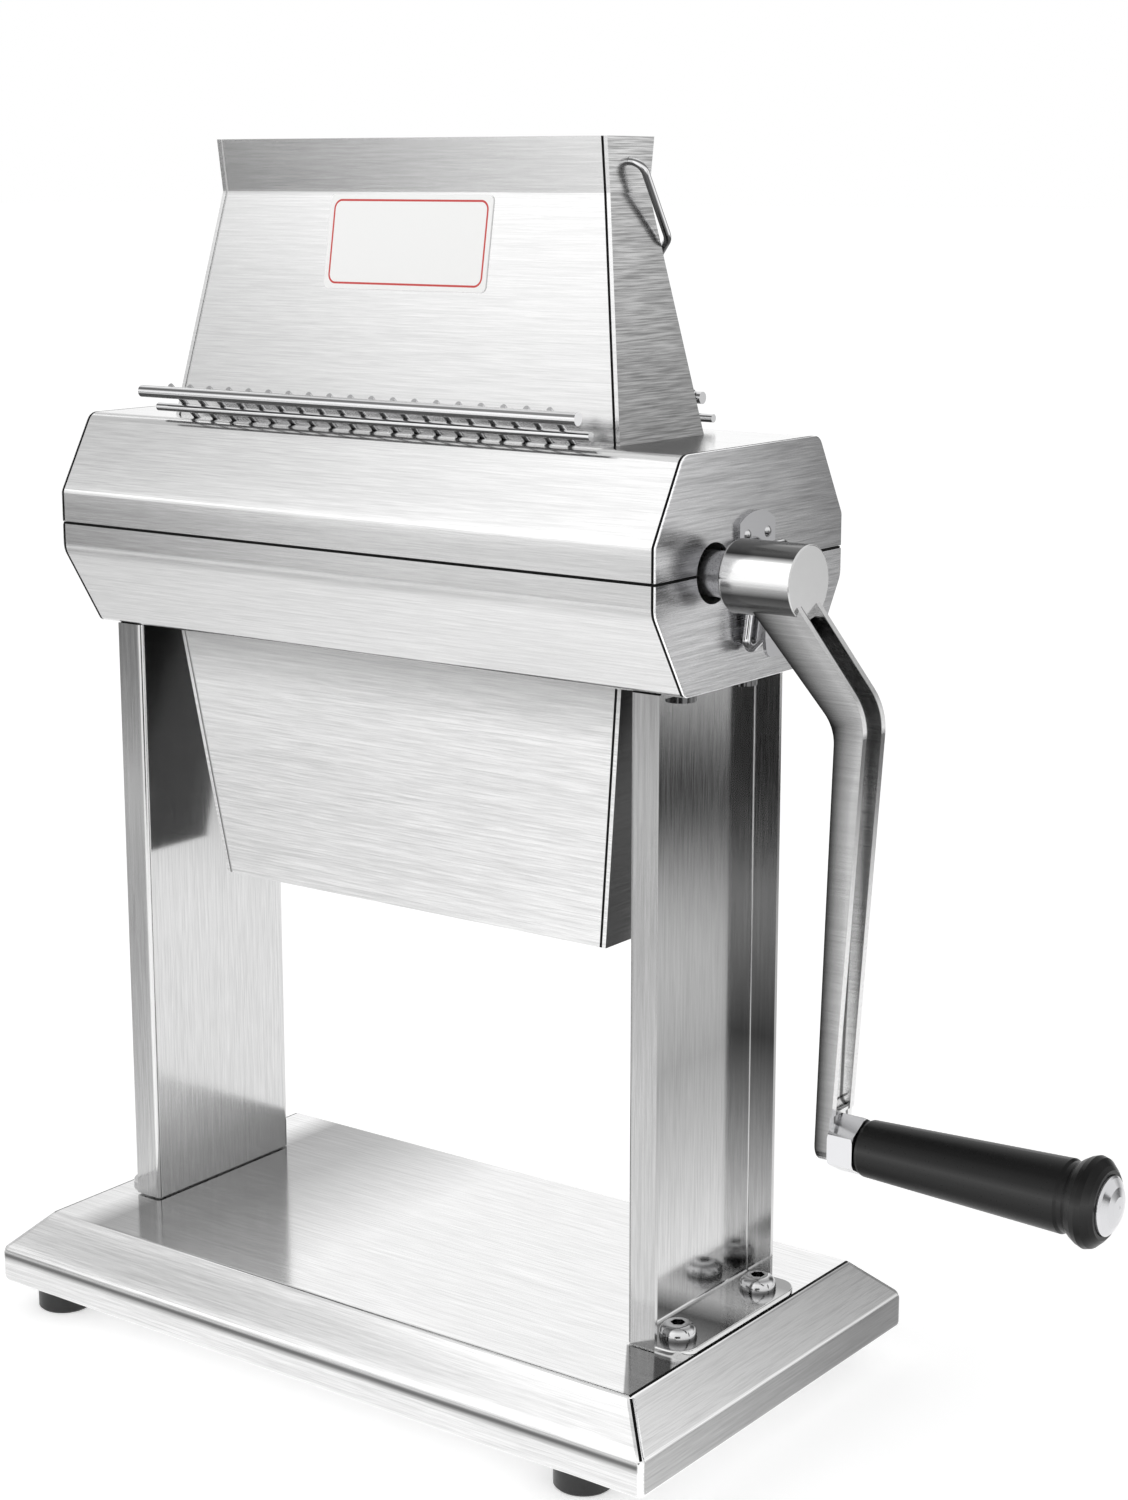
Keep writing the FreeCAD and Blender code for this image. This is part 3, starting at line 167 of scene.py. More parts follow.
def brushed_steel(name, grain, dark, light, roughness, scratch=0.35, second=None, shade=None):
    """Brushed stainless steel: fine parallel scratches that drag every reflection out across the grain.

    The finest scratches of the real grit are about 0.05 mm wide. They are drawn 0.4 mm wide, so that they
    show. The second grain is used on faces that look sideways. The shade is a factor on the colour.
    """
    material, tree, surface = shaded(name)
    place = add(tree, "ShaderNodeTexCoord")
    fine, broad = [streaks(tree, place, grain_size(grain, *size)) for size in GRAINS]
    if second:
        side = faces_sideways(tree, place)
        across = [streaks(tree, place, grain_size(second, *size)) for size in GRAINS]
        fine, broad = [add(tree, "ShaderNodeMix", _0=side, _2=front, _3=end)
                       for front, end in zip((fine, broad), across)]
    tone = add(tree, "ShaderNodeMix", _0=BROAD_SHARE, _2=fine, _3=broad)
    colour = add(tree, "ShaderNodeMix", {"data_type": "RGBA"}, _0=follow(tree, tone, (0.36, 0), (0.64, 1)),
                 _6=linear(dark), _7=linear(light)).outputs[2]
    if shade:
        colour = add(tree, "ShaderNodeVectorMath", {"operation": "SCALE"}, _0=colour,
                     Scale=shade(tree, place))
    rough = follow(tree, fine, (0.3, roughness * 0.85), (0.7, roughness * 1.2))
    bump = add(tree, "ShaderNodeBump", Strength=scratch, Distance=0.02 * MM, Height=fine)
    steel = add(tree, "ShaderNodeBsdfPrincipled", Base_Color=colour, Metallic=1.0, Roughness=rough,
                Normal=bump)
    tree.links.new(steel.outputs[0], surface)
    return material


def polished_steel(name, light, roughness, shade=None):
    """Polished stainless steel: nearly a mirror, with cloudy haze 6 mm across and hairlines 9 mm long."""
    material, tree, surface = shaded(name)
    place = add(tree, "ShaderNodeTexCoord")
    haze = add(tree, "ShaderNodeTexNoise", Vector=place.outputs["Object"], Scale=1 / (6 * MM), Detail=3.0)
    rough = follow(tree, haze, (0.3, roughness), (0.7, roughness + 0.06))
    hairlines = streaks(tree, place, grain_size("Z", 0.5, 9.0))
    bump = add(tree, "ShaderNodeBump", Strength=0.08, Distance=0.01 * MM, Height=hairlines)
    steel = add(tree, "ShaderNodeBsdfPrincipled", Base_Color=linear(light), Metallic=1.0, Roughness=rough,
                Normal=bump)
    if shade:
        colour = add(tree, "ShaderNodeVectorMath", {"operation": "SCALE"}, _0=linear(light)[:3],
                     Scale=shade(tree, place))
        tree.links.new(colour.outputs[0], steel.inputs["Base Color"])
    tree.links.new(steel.outputs[0], surface)
    return material


def moulded(name, dark, light, roughness, grit, relief, ior=1.5, shade=None):
    """A moulded plastic or rubber: mottled in patches of 9 mm, or shaded, with a fine texture all over."""
    material, tree, surface = shaded(name)
    place = add(tree, "ShaderNodeTexCoord")
    here = place.outputs["Object"]
    patches = add(tree, "ShaderNodeTexNoise", Vector=here, Scale=1 / (9 * MM), Detail=3.0)
    grains = add(tree, "ShaderNodeTexNoise", Vector=here, Scale=1 / (grit * MM), Detail=2.0)
    share = shade(tree, place) if shade else follow(tree, patches, (0.35, 0), (0.65, 1))
    colour = add(tree, "ShaderNodeMix", {"data_type": "RGBA"}, _0=share, _6=linear(dark),
                 _7=linear(light)).outputs[2]
    rough = follow(tree, grains, (0.3, roughness * 0.9), (0.7, roughness * 1.15))
    bump = add(tree, "ShaderNodeBump", Strength=relief, Distance=0.03 * MM, Height=grains)
    plastic = add(tree, "ShaderNodeBsdfPrincipled", Base_Color=colour, Roughness=rough, IOR=ior, Normal=bump)
    tree.links.new(plastic.outputs[0], surface)
    return material


def welded_seams(name, dark, weld):
    """Black sealant in the seams. The hopper's and chute's corners away from the crank are ground bright."""
    material, tree, surface = shaded(name)
    place = add(tree, "ShaderNodeTexCoord")
    along, _, height = spots(tree, place)
    left = follow(tree, along, (-80, 1), (-79, 0))
    off_head = follow(tree, height, (263, 1), (265, 0), (342, 0), (344, 1))
    ground = add(tree, "ShaderNodeMath", {"operation": "MULTIPLY"}, _0=left, _1=off_head)
    colour = add(tree, "ShaderNodeMix", {"data_type": "RGBA"}, _0=ground, _6=linear(dark),
                 _7=linear(weld)).outputs[2]
    grains = add(tree, "ShaderNodeTexNoise", Vector=place.outputs["Object"], Scale=1 / (0.5 * MM))
    rough = follow(tree, grains, (0.3, 0.4), (0.7, 0.55))
    filler = add(tree, "ShaderNodeBsdfPrincipled", Base_Color=colour, Metallic=ground, Roughness=rough,
                 IOR=1.2)
    tree.links.new(filler.outputs[0], surface)
    return material


BORDER_CORNER = 5 * MM          # from the label's edge to the centre of the border's round corner
BORDER = [(2.6 * MM, 0), (2.7 * MM, 1), (3.3 * MM, 1), (3.4 * MM, 0)]   # ink, by distance from that centre


def printed_label(name, node, film, ink):
    """A white vinyl film with a thin printed border, 0.7 mm wide, whose corners are rounded."""
    low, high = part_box(node)
    middle = [(a + b) / 2 for a, b in zip(low, high)]
    core = [high[0] - middle[0] - BORDER_CORNER, 1.0, high[2] - middle[2] - BORDER_CORNER]
    material, tree, surface = shaded(name)
    here = add(tree, "ShaderNodeTexCoord").outputs["Object"]
    away = add(tree, "ShaderNodeVectorMath", {"operation": "SUBTRACT"}, _0=here, _1=middle)
    away = add(tree, "ShaderNodeVectorMath", {"operation": "ABSOLUTE"}, _0=away)
    away = add(tree, "ShaderNodeVectorMath", {"operation": "SUBTRACT"}, _0=away, _1=core)
    away = add(tree, "ShaderNodeVectorMath", {"operation": "MAXIMUM"}, _0=away, _1=(0, 0, 0))
    from_core = add(tree, "ShaderNodeVectorMath", {"operation": "LENGTH"}, _0=away).outputs["Value"]
    colour = add(tree, "ShaderNodeMix", {"data_type": "RGBA"}, _0=follow(tree, from_core, *BORDER),
                 _6=linear(film), _7=linear(ink)).outputs[2]
    grains = add(tree, "ShaderNodeTexNoise", Vector=here, Scale=1 / (1.5 * MM), Detail=2.0)
    rough = follow(tree, grains, (0.3, 0.35), (0.7, 0.42))
    vinyl = add(tree, "ShaderNodeBsdfPrincipled", Base_Color=colour, Roughness=rough)
    tree.links.new(vinyl.outputs[0], surface)
    return material


# ---- shades ------------------------------------------------------------------------------------
LEG_FACE = 37.3                         # depth of a leg's outer faces, front and back
PARTING = 302.9                         # height of the seam between the head's two halves
ARM_BEND = (182.0, 0, 259.6)            # the crank arm's bend, at its inner edge
ARM_EDGES = ((0.737, 0, 0.676), (1.0, 0, -0.03))   # outward from the inner edge, above and below the bend


def leg_shade(tree, place):
    """Painted shade: the legs' webs darken upwards, where the head keeps the light off them. Their flanges are
    painted darker, and the inner face of the back one, deep in the channel, is painted the darkest."""
    along, depth, height = spots(tree, place)
    left = follow(tree, height, (169, 1.0), (260, 0.95))
    right = follow(tree, height, (60, 0.95), (130, 0.48), (208, 0.78), (260, 0.55))
    web = add(tree, "ShaderNodeMix", _0=follow(tree, along, (-1, 0), (1, 1)), _2=left, _3=right)
    front = follow(tree, height, (50, 0.75), (180, 0.55))
    back = follow(tree, height, (60, 0.85), (130, 0.14), (200, 0.6), (260, 1.0))
    inner = follow(tree, depth, (0, 0), (4, 1), (LEG_FACE - 0.8, 1), (LEG_FACE - 0.4, 0))
    flange = add(tree, "ShaderNodeMix", _0=inner, _2=front, _3=back)
    return add(tree, "ShaderNodeMix", _0=faces_sideways(tree, place), _2=flange, _3=web)


def hopper_shade(tree, place):
    """Painted reflections on the hopper: its upright rim is painted darker in front, most of all at the end
    away from the crank, and the front below it slightly so. Its sides are painted darker downwards, where they
    mirror the head's top, and their scratches are stronger."""
    along, _, height = spots(tree, place)
    wall = follow(tree, along, (-85, 0.88), (0, 1.0))
    rim = follow(tree, along, (-85, 0.55), (85, 1.0))
    front = add(tree, "ShaderNodeMix", _0=follow(tree, height, (420.4, 0), (423.2, 1)), _2=wall, _3=rim)
    deep = streaks(tree, place, grain_size("Y", 0.5, 16.0))
    side = add(tree, "ShaderNodeMath", {"operation": "MULTIPLY"},
               _0=follow(tree, height, (345, 0.5), (420, 0.95)),
               _1=follow(tree, deep, (0.34, 0.65), (0.66, 1.35)))
    return add(tree, "ShaderNodeMix", _0=faces_sideways(tree, place), _2=front, _3=side)


def housing_shade(tree, place):
    """The head's flat top is painted dark where it mirrors the hopper's side. Its upper fold has a painted
    highlight, and a painted dark line runs along its lower fold.
    """
    along, depth, height = spots(tree, place)
    mirror = follow(tree, seen_slantwise(tree, along, depth), (111, 0.14), (116, 1.0))
    top = add(tree, "ShaderNodeMix", _0=follow(tree, along, (98, 0), (100, 1)), _2=1.0, _3=mirror)
    upper_fold = follow(tree, height, (310, 0), (315, 1), (317, 0.3), (325, 0))
    lower_fold = follow(tree, height, (290, 1.0), (293, 0.8), (297, 0.97))
    body = add(tree, "ShaderNodeMath", {"operation": "MULTIPLY"},
               _0=follow(tree, upper_fold, (0, 0.96), (1, 1.2)), _1=lower_fold)
    return add(tree, "ShaderNodeMix", _0=flat_top(tree, place), _2=body, _3=top)


def end_shade(tree, place):
    """Painted shade on the end plates: darker towards the back, the upper ones more, and a painted highlight
    on their rounded rims.
    """
    _, depth, height = spots(tree, place)
    upper = follow(tree, depth, (-50, 1.1), (70, 0.5))
    lower = follow(tree, depth, (-50, 1.25), (70, 0.75))
    above = follow(tree, height, (PARTING - 0.5, 0), (PARTING + 0.5, 1))
    plate = add(tree, "ShaderNodeMix", _0=above, _2=lower, _3=upper)
    flat = add(tree, "ShaderNodeMath", {"operation": "ABSOLUTE"}, _0=facing(tree, place, 0))
    rim = follow(tree, flat, (0.6, 1.7), (0.97, 1.0))
    return add(tree, "ShaderNodeMath", {"operation": "MULTIPLY"}, _0=rim, _1=plate)


def base_top_shade(tree, along, depth, fold_highlight):
    """The base's flat top gets painted reflections of the left leg, softly, and of the right leg's foot in
    front of that leg, and the painted fold highlights.
    """
    mirror = follow(tree, along, (-111, 0.38), (-83, 0.48), (-22, 1.0))
    outside = follow(tree, along, (-125, 1), (-111, 0))
    flat = add(tree, "ShaderNodeMix", _0=outside, _2=mirror, _3=1.0)
    foot = follow(tree, seen_slantwise(tree, along, depth), (86, 1.0), (86.6, 0.35), (97.4, 0.35), (98, 0.1),
                  (104, 0.1), (105.2, 1.0))
    before_leg = follow(tree, depth, (-LEG_FACE - 1, 1), (-LEG_FACE, 0))
    foot = add(tree, "ShaderNodeMix", _0=before_leg, _2=1.0, _3=foot)
    flat = add(tree, "ShaderNodeMath", {"operation": "MULTIPLY"}, _0=flat, _1=foot)
    return add(tree, "ShaderNodeMath", {"operation": "MULTIPLY"}, _0=flat,
               _1=follow(tree, fold_highlight, (0, 1.0), (1, 1.15)))


def base_shade(tree, place):
    """Painted highlights along the base's long folds, with a painted dark line under the slope. The slope is
    painted darker towards the crank, and lighter where it faces the crank's end. Its upright edge at the
    crank's end gets a painted shadow of the base itself, more so towards the back."""
    along, depth, height = spots(tree, place)
    towards_crank = facing(tree, place, 0)
    reach = add(tree, "ShaderNodeMath", {"operation": "ABSOLUTE"}, _0=depth)
    # painted highlights along the long folds, by distance from the middle
    fold_highlight = follow(tree, reach, (64, 0), (68.4, 0.25), (70.3, 1), (73.1, 0.4), (77.1, 0.1), (81.2, 0.2),
                  (82.8, 1), (84, 0.1))
    # a painted dark line under the slope
    line = follow(tree, height, (20.1, 1.0), (22.3, 0.2), (23, 0.2), (24.3, 1.0))
    slope = add(tree, "ShaderNodeMix", _0=follow(tree, height, (25, 0), (28, 1)), _2=1.0,
                _3=follow(tree, along, (-140, 1.0), (130, 0.84)))
    slope = add(tree, "ShaderNodeMath", {"operation": "MULTIPLY"}, _0=line, _1=slope)
    slope = add(tree, "ShaderNodeMath", {"operation": "MULTIPLY"}, _0=slope,
                _1=follow(tree, fold_highlight, (0, 0.9), (1, 1.2)))
    slope = add(tree, "ShaderNodeMix", _0=follow(tree, towards_crank, (0.3, 0), (0.5, 1)), _2=slope, _3=1.26)
    sheet = add(tree, "ShaderNodeMix", _0=flat_top(tree, place), _2=slope,
                _3=base_top_shade(tree, along, depth, fold_highlight))
    # painted shadow on the upright edge at the crank's end, darker towards the back
    edge = follow(tree, depth, (-80, 0.55), (60, 0.27))
    return add(tree, "ShaderNodeMix", _0=follow(tree, towards_crank, (0.85, 0), (0.95, 1)), _2=sheet, _3=edge)


def chute_shade(tree, place):
    """Little light comes to the chute's sides, close to the legs, and to its top, close under the head."""
    under_head = follow(tree, spots(tree, place)[2], (242, 1.0), (264, 0.5))
    return add(tree, "ShaderNodeMix", _0=faces_sideways(tree, place), _2=under_head, _3=0.15)


def foot_shade(tree, place):
    """A foot plate mirrors the bolts and the leg as a dark, a bright and a dull band from front to back."""
    mirror = follow(tree, spots(tree, place)[1], (-29.8, 0.5), (-9, 0.12), (7.5, 0.95), (13.4, 0.9),
                    (29.8, 0.3))
    return add(tree, "ShaderNodeMix", _0=flat_top(tree, place), _2=0.8, _3=mirror)


def arm_flank_shade(tree, place, upper):
    """A flank of the crank arm gets painted shade: black at its inner edge and lighter outwards, over 7.5 mm
    below the bend and 10 mm above it."""
    from_bend = add(tree, "ShaderNodeVectorMath", {"operation": "SUBTRACT"}, _0=from_middle(tree, place),
                    _1=ARM_BEND)
    outward = [add(tree, "ShaderNodeVectorMath", {"operation": "DOT_PRODUCT"}, _0=from_bend,
                   _1=way).outputs["Value"] for way in ARM_EDGES]
    outward = add(tree, "ShaderNodeMath", {"operation": "MAXIMUM"}, _0=outward[0], _1=outward[1])
    share = add(tree, "ShaderNodeMath", {"operation": "DIVIDE"}, _0=outward,
                _1=follow(tree, upper, (0, 7.5), (1, 10)))
    return follow(tree, share, (0.0, 0.02), (0.12, 0.09), (0.45, 0.3), (0.8, 0.46), (1.0, 0.58))


def arm_shade(tree, place):
    """The crank arm's flanks get painted shade, and its lips stay bright. The channel between them is painted
    black above the bend, and below it painted reflections go from black to bright and back."""
    low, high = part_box("crank_arm")
    _, depth, height = spots(tree, place)
    across = follow(tree, depth, (low[1] / MM, 0), (high[1] / MM, 1))
    upper = follow(tree, height, (235, 0), (262, 1))
    outer = follow(tree, across, (0.1, 1), (0.15, 0), (0.85, 0), (0.9, 1))
    flank = add(tree, "ShaderNodeMix", _0=outer, _2=1.0, _3=arm_flank_shade(tree, place, upper))
    lower_channel = follow(tree, across, (0.17, 1.0), (0.21, 0.1), (0.3, 0.6), (0.5, 1.0), (0.7, 1.0),
                           (0.76, 0.15), (0.8, 0.1), (0.83, 1.0))
    upper_channel = follow(tree, across, (0.15, 1.0), (0.19, 0.04), (0.8, 0.08), (0.84, 1.0))
    channel = add(tree, "ShaderNodeMix", _0=upper, _2=lower_channel, _3=upper_channel)
    return add(tree, "ShaderNodeMix", _0=faces_sideways(tree, place), _2=flank, _3=channel)


def hub_shade(tree, place):
    """The turned hub gets painted reflections: brightest along its middle, and dark above and below. Its end
    is painted a plain grey.
    """
    # painted reflection bands round the hub
    turned = follow(tree, looks_up(tree, place), (0.0, 0.18), (0.09, 0.17), (0.32, 0.05), (0.44, 0.4),
                    (0.5, 1.0), (0.78, 1.0), (0.85, 0.05), (0.92, 0.13), (1.0, 0.16))
    return add(tree, "ShaderNodeMix", _0=faces_sideways(tree, place), _2=turned, _3=0.72)


def wire_shade(tree, place):
    """Bright and dark bands round the wires and rods, as polished rounds show them in a studio."""
    return follow(tree, looks_up(tree, place), (0.0, 0.3), (0.14, 0.08), (0.34, 0.1), (0.42, 0.9), (0.6, 1.0),
                  (0.67, 0.2), (0.8, 0.16), (0.88, 0.85), (1.0, 0.7))


def bolt_shade(tree, place):
    """A bolt's domed head gets painted reflections: a bright ring between two dark ones."""
    return follow(tree, looks_up(tree, place), (0.5, 0.2), (0.62, 0.9), (0.75, 1.0), (0.86, 0.4), (0.95, 0.6),
                  (1.0, 0.9))


def grip_shade(tree, place):
    """The grip's turned plastic has a painted soft highlight along its upper side."""
    return follow(tree, looks_up(tree, place), (0.3, 0.0), (0.5, 0.5), (0.6, 1.0), (0.7, 0.35), (0.85, 0.0))


# ---- finishes ----------------------------------------------------------------------------------
# Sheet brushed along its length: near-white slopes with long faint scratches. The folds show as soft
# lines of painted highlight and shade.
sheet_steel = brushed_steel("brushed_stainless_sheet", "X", "#d2d2d2", "#e4e4e4", 0.17, scratch=0.25,
                            second="Y", shade=housing_shade)
# The base's sheet is finer: it still shows the legs' feet as in a dull mirror, with painted reflections,
# fold highlights and shade.
base_steel = brushed_steel("brushed_stainless_base", "X", "#d6d6d6", "#eeeeee", 0.13, scratch=0.2, second="Y",
                           shade=base_shade)
# The hopper is smooth in front, and its sides have strong level scratches and painted reflections.
hopper_steel = brushed_steel("brushed_stainless_hopper", "X", "#d4d4d4", "#e2e2e2", 0.19, scratch=0.25,
                             second="Y", shade=hopper_shade)
# The chute is coarser than the hopper: long scratches from side to side.
chute_steel = brushed_steel("brushed_stainless_chute", "X", "#cecece", "#eaeaea", 0.2, second="Y",
                            shade=chute_shade)
# The end plates are brushed from front to back and read as mid grey, with painted shade and rim highlights.
end_steel = brushed_steel("brushed_stainless_end_plate", "Y", "#acacad", "#d8d8d9", 0.24, shade=end_shade)
# The legs are brushed upwards: upright streaks, with the base's top mirrored at their feet, and painted shade.
leg_steel = brushed_steel("brushed_stainless_leg", "Z", "#cccccc", "#e2e2e2", 0.13, scratch=0.2,
                          shade=leg_shade)
# The crank arm is brushed across, so that level scratches cross its long flanks, and its shade is painted.
crank_steel = brushed_steel("brushed_stainless_crank", "X", "#dcdcdc", "#f0f0f0", 0.16, shade=arm_shade)
# The hub is turned and polished, with a painted white reflection band between two painted black ones.
hub_steel = polished_steel("turned_stainless_hub", "#f0f0f0", 0.13, shade=hub_shade)
# Small stamped plates, tumbled smooth: an even grey mirror.
plate_steel = polished_steel("polished_stainless_plate", "#b8b8ba", 0.09)
# The foot plates lie in the channels and mirror what stands on them.
foot_plate_steel = polished_steel("polished_stainless_foot_plate", "#f0f0f0", 0.09, shade=foot_shade)
# The grip's cap and nut: clean bright steel, slightly dull.
cap_steel = polished_steel("polished_stainless_cap", "#d2d2d4", 0.12)
# Drawn wire and rod, polished: narrow painted bright and dark reflection bands along it.
wire_steel = polished_steel("polished_stainless_wire", "#f0f0f1", 0.06, shade=wire_shade)
# Turned screw and rivet heads: a painted bright reflection ring between two darker ones.
bolt_steel = polished_steel("turned_stainless_bolt", "#dededf", 0.1, shade=bolt_shade)
# The discs are ground flat: a matt blue grey.
blade_steel = brushed_steel("ground_blade_steel", "Z", "#a2a3a6", "#bdbec0", 0.3)
# Shafts, keys and gears are left as machined: a darker matt grey.
shaft_steel = brushed_steel("turned_steel", "Y", "#8f8f92", "#b4b4b6", 0.3)
# The bushes are sintered bronze: matt brown gold.
bronze = brushed_steel("sintered_bronze", "Y", "#8f6a3a", "#b08a54", 0.4)
# The bearing blocks and seat pads are natural nylon: a waxy off white.
nylon = moulded("natural_nylon", "#e2e2dc", "#ecebe6", 0.45, 0.6, 0.15)
# The feet are nitrile rubber: a soft black that just holds a highlight.
rubber = moulded("black_nitrile_rubber", "#141414", "#1e1e1e", 0.4, 0.5, 0.15)
# Sealant reads as a black line along the folded corners.
seam_filler = welded_seams("black_seam_sealant", "#030303", "#c4c4c4")
# The grip is turned phenolic: deep black with one soft painted highlight.
grip_plastic = moulded("black_phenolic_grip", "#020202", "#404040", 0.3, 0.7, 0.05, ior=1.25,
                       shade=grip_shade)
# The blank label is satin white vinyl with a thin red border.
label_film = printed_label("white_vinyl_label", "label_plate", "#f4f4f3", "#c9342f")

FINISHES = {
    sheet_steel: ["lower_housing", "upper_housing", "locating_strips"],
    chute_steel: ["chute"],
    base_steel: ["base_tray"],
    hopper_steel: ["hopper"],
    end_steel: ["upper_end_left", "upper_end_right", "lower_end_left", "lower_end_right"],
    leg_steel: ["leg_left", "leg_right"],
    cap_steel: ["grip_cap", "spindle_nut"],
    foot_plate_steel: ["foot_plate_left", "foot_plate_right"],
    plate_steel: ["catch_plate_left", "catch_plate_right", "latch_base_left", "latch_base_right",
                  "latch_lever_left", "latch_lever_right"],
    wire_steel: ["latch_loop_left", "latch_loop_right", "front_comb", "rear_comb", "bail_handle"],
    bolt_steel: ["leg_bolts", "leg_nuts", "foot_screws", "foot_nuts", "block_screws", "catch_rivets",
                 "latch_rivets", "latch_pins", "hub_grub_screw"],
    blade_steel: ["front_blades", "rear_blades", "front_spacers", "rear_spacers"],
    shaft_steel: ["front_shaft", "rear_shaft", "front_keys", "rear_keys", "front_circlips", "rear_circlips",
                  "grip_spindle", "front_gear", "rear_gear"],
    crank_steel: ["crank_arm"],
    hub_steel: ["crank_hub"],
    seam_filler: ["stand_seams", "cover_seams"],
    bronze: ["shaft_bushes"],
    nylon: ["bearing_block_left", "bearing_block_right", "cover_seats"],
    rubber: ["rubber_feet"],
    grip_plastic: ["grip_sleeve"],
    label_film: ["label_plate"],
}
for material, names in FINISHES.items():
    for name in names:
        mesh = nodes[name].data
        mesh.materials.clear()
        mesh.materials.append(material)


# ---- leg bolts ---------------------------------------------------------------------------------
BOLT_R = 6.6 * MM               # radius of the head
BOLT_LAND = 3.4 * MM            # radius of the flat round the socket
BOLT_RIM = 0.7 * MM             # height of the head's upright rim
BOLT_HEAD = 5.0 * MM            # height of the whole head
BOLT_SHANK = 3.0 * MM           # radius of the shank
BOLT_SIDES = 40
SOCKET_R = 2.6 * MM             # at the socket's corners
SOCKET_DEPTH = 2.6 * MM
DOME_STEPS = 8
SMOOTH_BELOW = math.radians(30)     # edges that turn less than this are shaded smooth


def pick_face(piece, looks):
    """Selects the largest face that looks up (1) or down (-1), and goes to edit mode."""
    bpy.ops.object.mode_set(mode="OBJECT")
    for group in (piece.data.vertices, piece.data.edges, piece.data.polygons):
        for element in group:
            element.select = False
    level = [face for face in piece.data.polygons if face.normal.z * looks > 0.99]
    max(level, key=lambda face: face.area).select = True
    bpy.ops.object.mode_set(mode="EDIT")
    bpy.ops.mesh.select_mode(type="FACE")


def raise_face(rise, shrink, middle):
    """Extrudes the picked face upwards, and scales the new face about the bolt's axis."""
    bpy.ops.mesh.extrude_region_move(TRANSFORM_OT_translate={"value": (0, 0, rise)})
    if shrink != 1:
        bpy.ops.transform.resize(value=(shrink, shrink, 1), center_override=middle)


def leg_bolt(x, y, seat, foot):
    """One button-head bolt: a domed head with a hexagon socket, and its shank."""
    bpy.ops.object.select_all(action="DESELECT")
    bpy.ops.mesh.primitive_cylinder_add(vertices=BOLT_SIDES, radius=BOLT_R, depth=BOLT_RIM,
                                        location=(x, y, seat + BOLT_RIM / 2))
    bolt = bpy.context.object
    pick_face(bolt, 1)
    radius, height = BOLT_R, BOLT_RIM
    for step in range(1, DOME_STEPS + 1):
        turn = math.pi / 2 * step / DOME_STEPS
        new_radius = BOLT_LAND + (BOLT_R - BOLT_LAND) * math.cos(turn)
        new_height = BOLT_RIM + (BOLT_HEAD - BOLT_RIM) * math.sin(turn)
        raise_face(new_height - height, new_radius / radius, (x, y, seat))
        radius, height = new_radius, new_height
    pick_face(bolt, -1)
    raise_face(0, BOLT_SHANK / BOLT_R, (x, y, seat))
    raise_face(foot - seat, 1, (x, y, seat))
    bpy.ops.object.mode_set(mode="OBJECT")
    bpy.ops.mesh.primitive_cylinder_add(vertices=6, radius=SOCKET_R, depth=SOCKET_DEPTH * 2,
                                        location=(x, y, seat + BOLT_HEAD))
    socket = bpy.context.object
    bpy.ops.object.select_all(action="DESELECT")
    bolt.select_set(True)
    bpy.context.view_layer.objects.active = bolt
    cut = bolt.modifiers.new("socket", "BOOLEAN")
    cut.operation = "DIFFERENCE"
    cut.object = socket
    bpy.ops.object.modifier_apply(modifier=cut.name)
    bpy.data.objects.remove(socket)
    return bolt


def leg_bolts():
    """Four bolts hold the foot plates to the base, and stand for the plainer ones of the frame."""
    low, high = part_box("leg_bolts")
    seat = high[2] - BOLT_HEAD
    bolts = [leg_bolt(x, y, seat, low[2]) for x in (low[0] + BOLT_R, high[0] - BOLT_R)
             for y in (low[1] + BOLT_R, high[1] - BOLT_R)]
    for bolt in bolts:
        bolt.select_set(True)
    bpy.ops.object.join()
    piece = bpy.context.object
    piece.name = "button_head_bolts"
    bpy.ops.object.transform_apply(location=True, rotation=True, scale=True)
    bpy.ops.object.shade_smooth_by_angle(angle=SMOOTH_BELOW)
    piece.data.materials.clear()
    piece.data.materials.append(bolt_steel)
    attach(piece, "stand")
    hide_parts("leg_bolts")


leg_bolts()


# ---- studio ------------------------------------------------------------------------------------
SET_MIDDLE = Vector((STAND_X, 0, 0.25))     # what the standing cards face
MATT_LIGHT = 0.72                           # the world's level on matt things, where 1 is white
FLOOR_GLOW = 0.42                           # keeps the floor white to the eye, and its shadow pale
CAMERA_PLACE = (0.53642, -0.73964, 0.42798)
CAMERA_PITCH = 12.047                       # degrees below level
CAMERA_HEADING = 36.398                     # degrees from straight to the back, towards the left
PICTURE = (1128, 1500)                      # the picture's width and height
SENSOR = 36.0                               # millimetres, along the picture's height


def studio_floor():
    """A white floor that keeps the object's shadow."""
    bpy.ops.object.select_all(action="DESELECT")
    bpy.ops.mesh.primitive_plane_add(size=60, location=(0, 0, 0))
    floor = bpy.context.object
    floor.name = "floor"
    material, tree, surface = shaded("white_studio_floor")
    paint = add(tree, "ShaderNodeBsdfDiffuse", Color=linear("#f2f2f2"))
    white = add(tree, "ShaderNodeEmission", Color=(1, 1, 1, 1), Strength=FLOOR_GLOW)
    both = add(tree, "ShaderNodeAddShader", _0=paint, _1=white)
    tree.links.new(both.outputs[0], surface)
    floor.data.materials.append(material)


def key_lamp(place, target, size, power):
    """A soft square lamp, in front on the left, that gives the shadow under the base."""
    light = bpy.data.lights.new("key", "AREA")
    light.shape = "RECTANGLE"
    light.size, light.size_y = size, size
    light.energy = power
    lamp = bpy.data.objects.new("key", light)
    bpy.context.scene.collection.objects.link(lamp)
    lamp.location = place
    lamp.rotation_euler = (Vector(target) - Vector(place)).to_track_quat("-Z", "Y").to_euler()


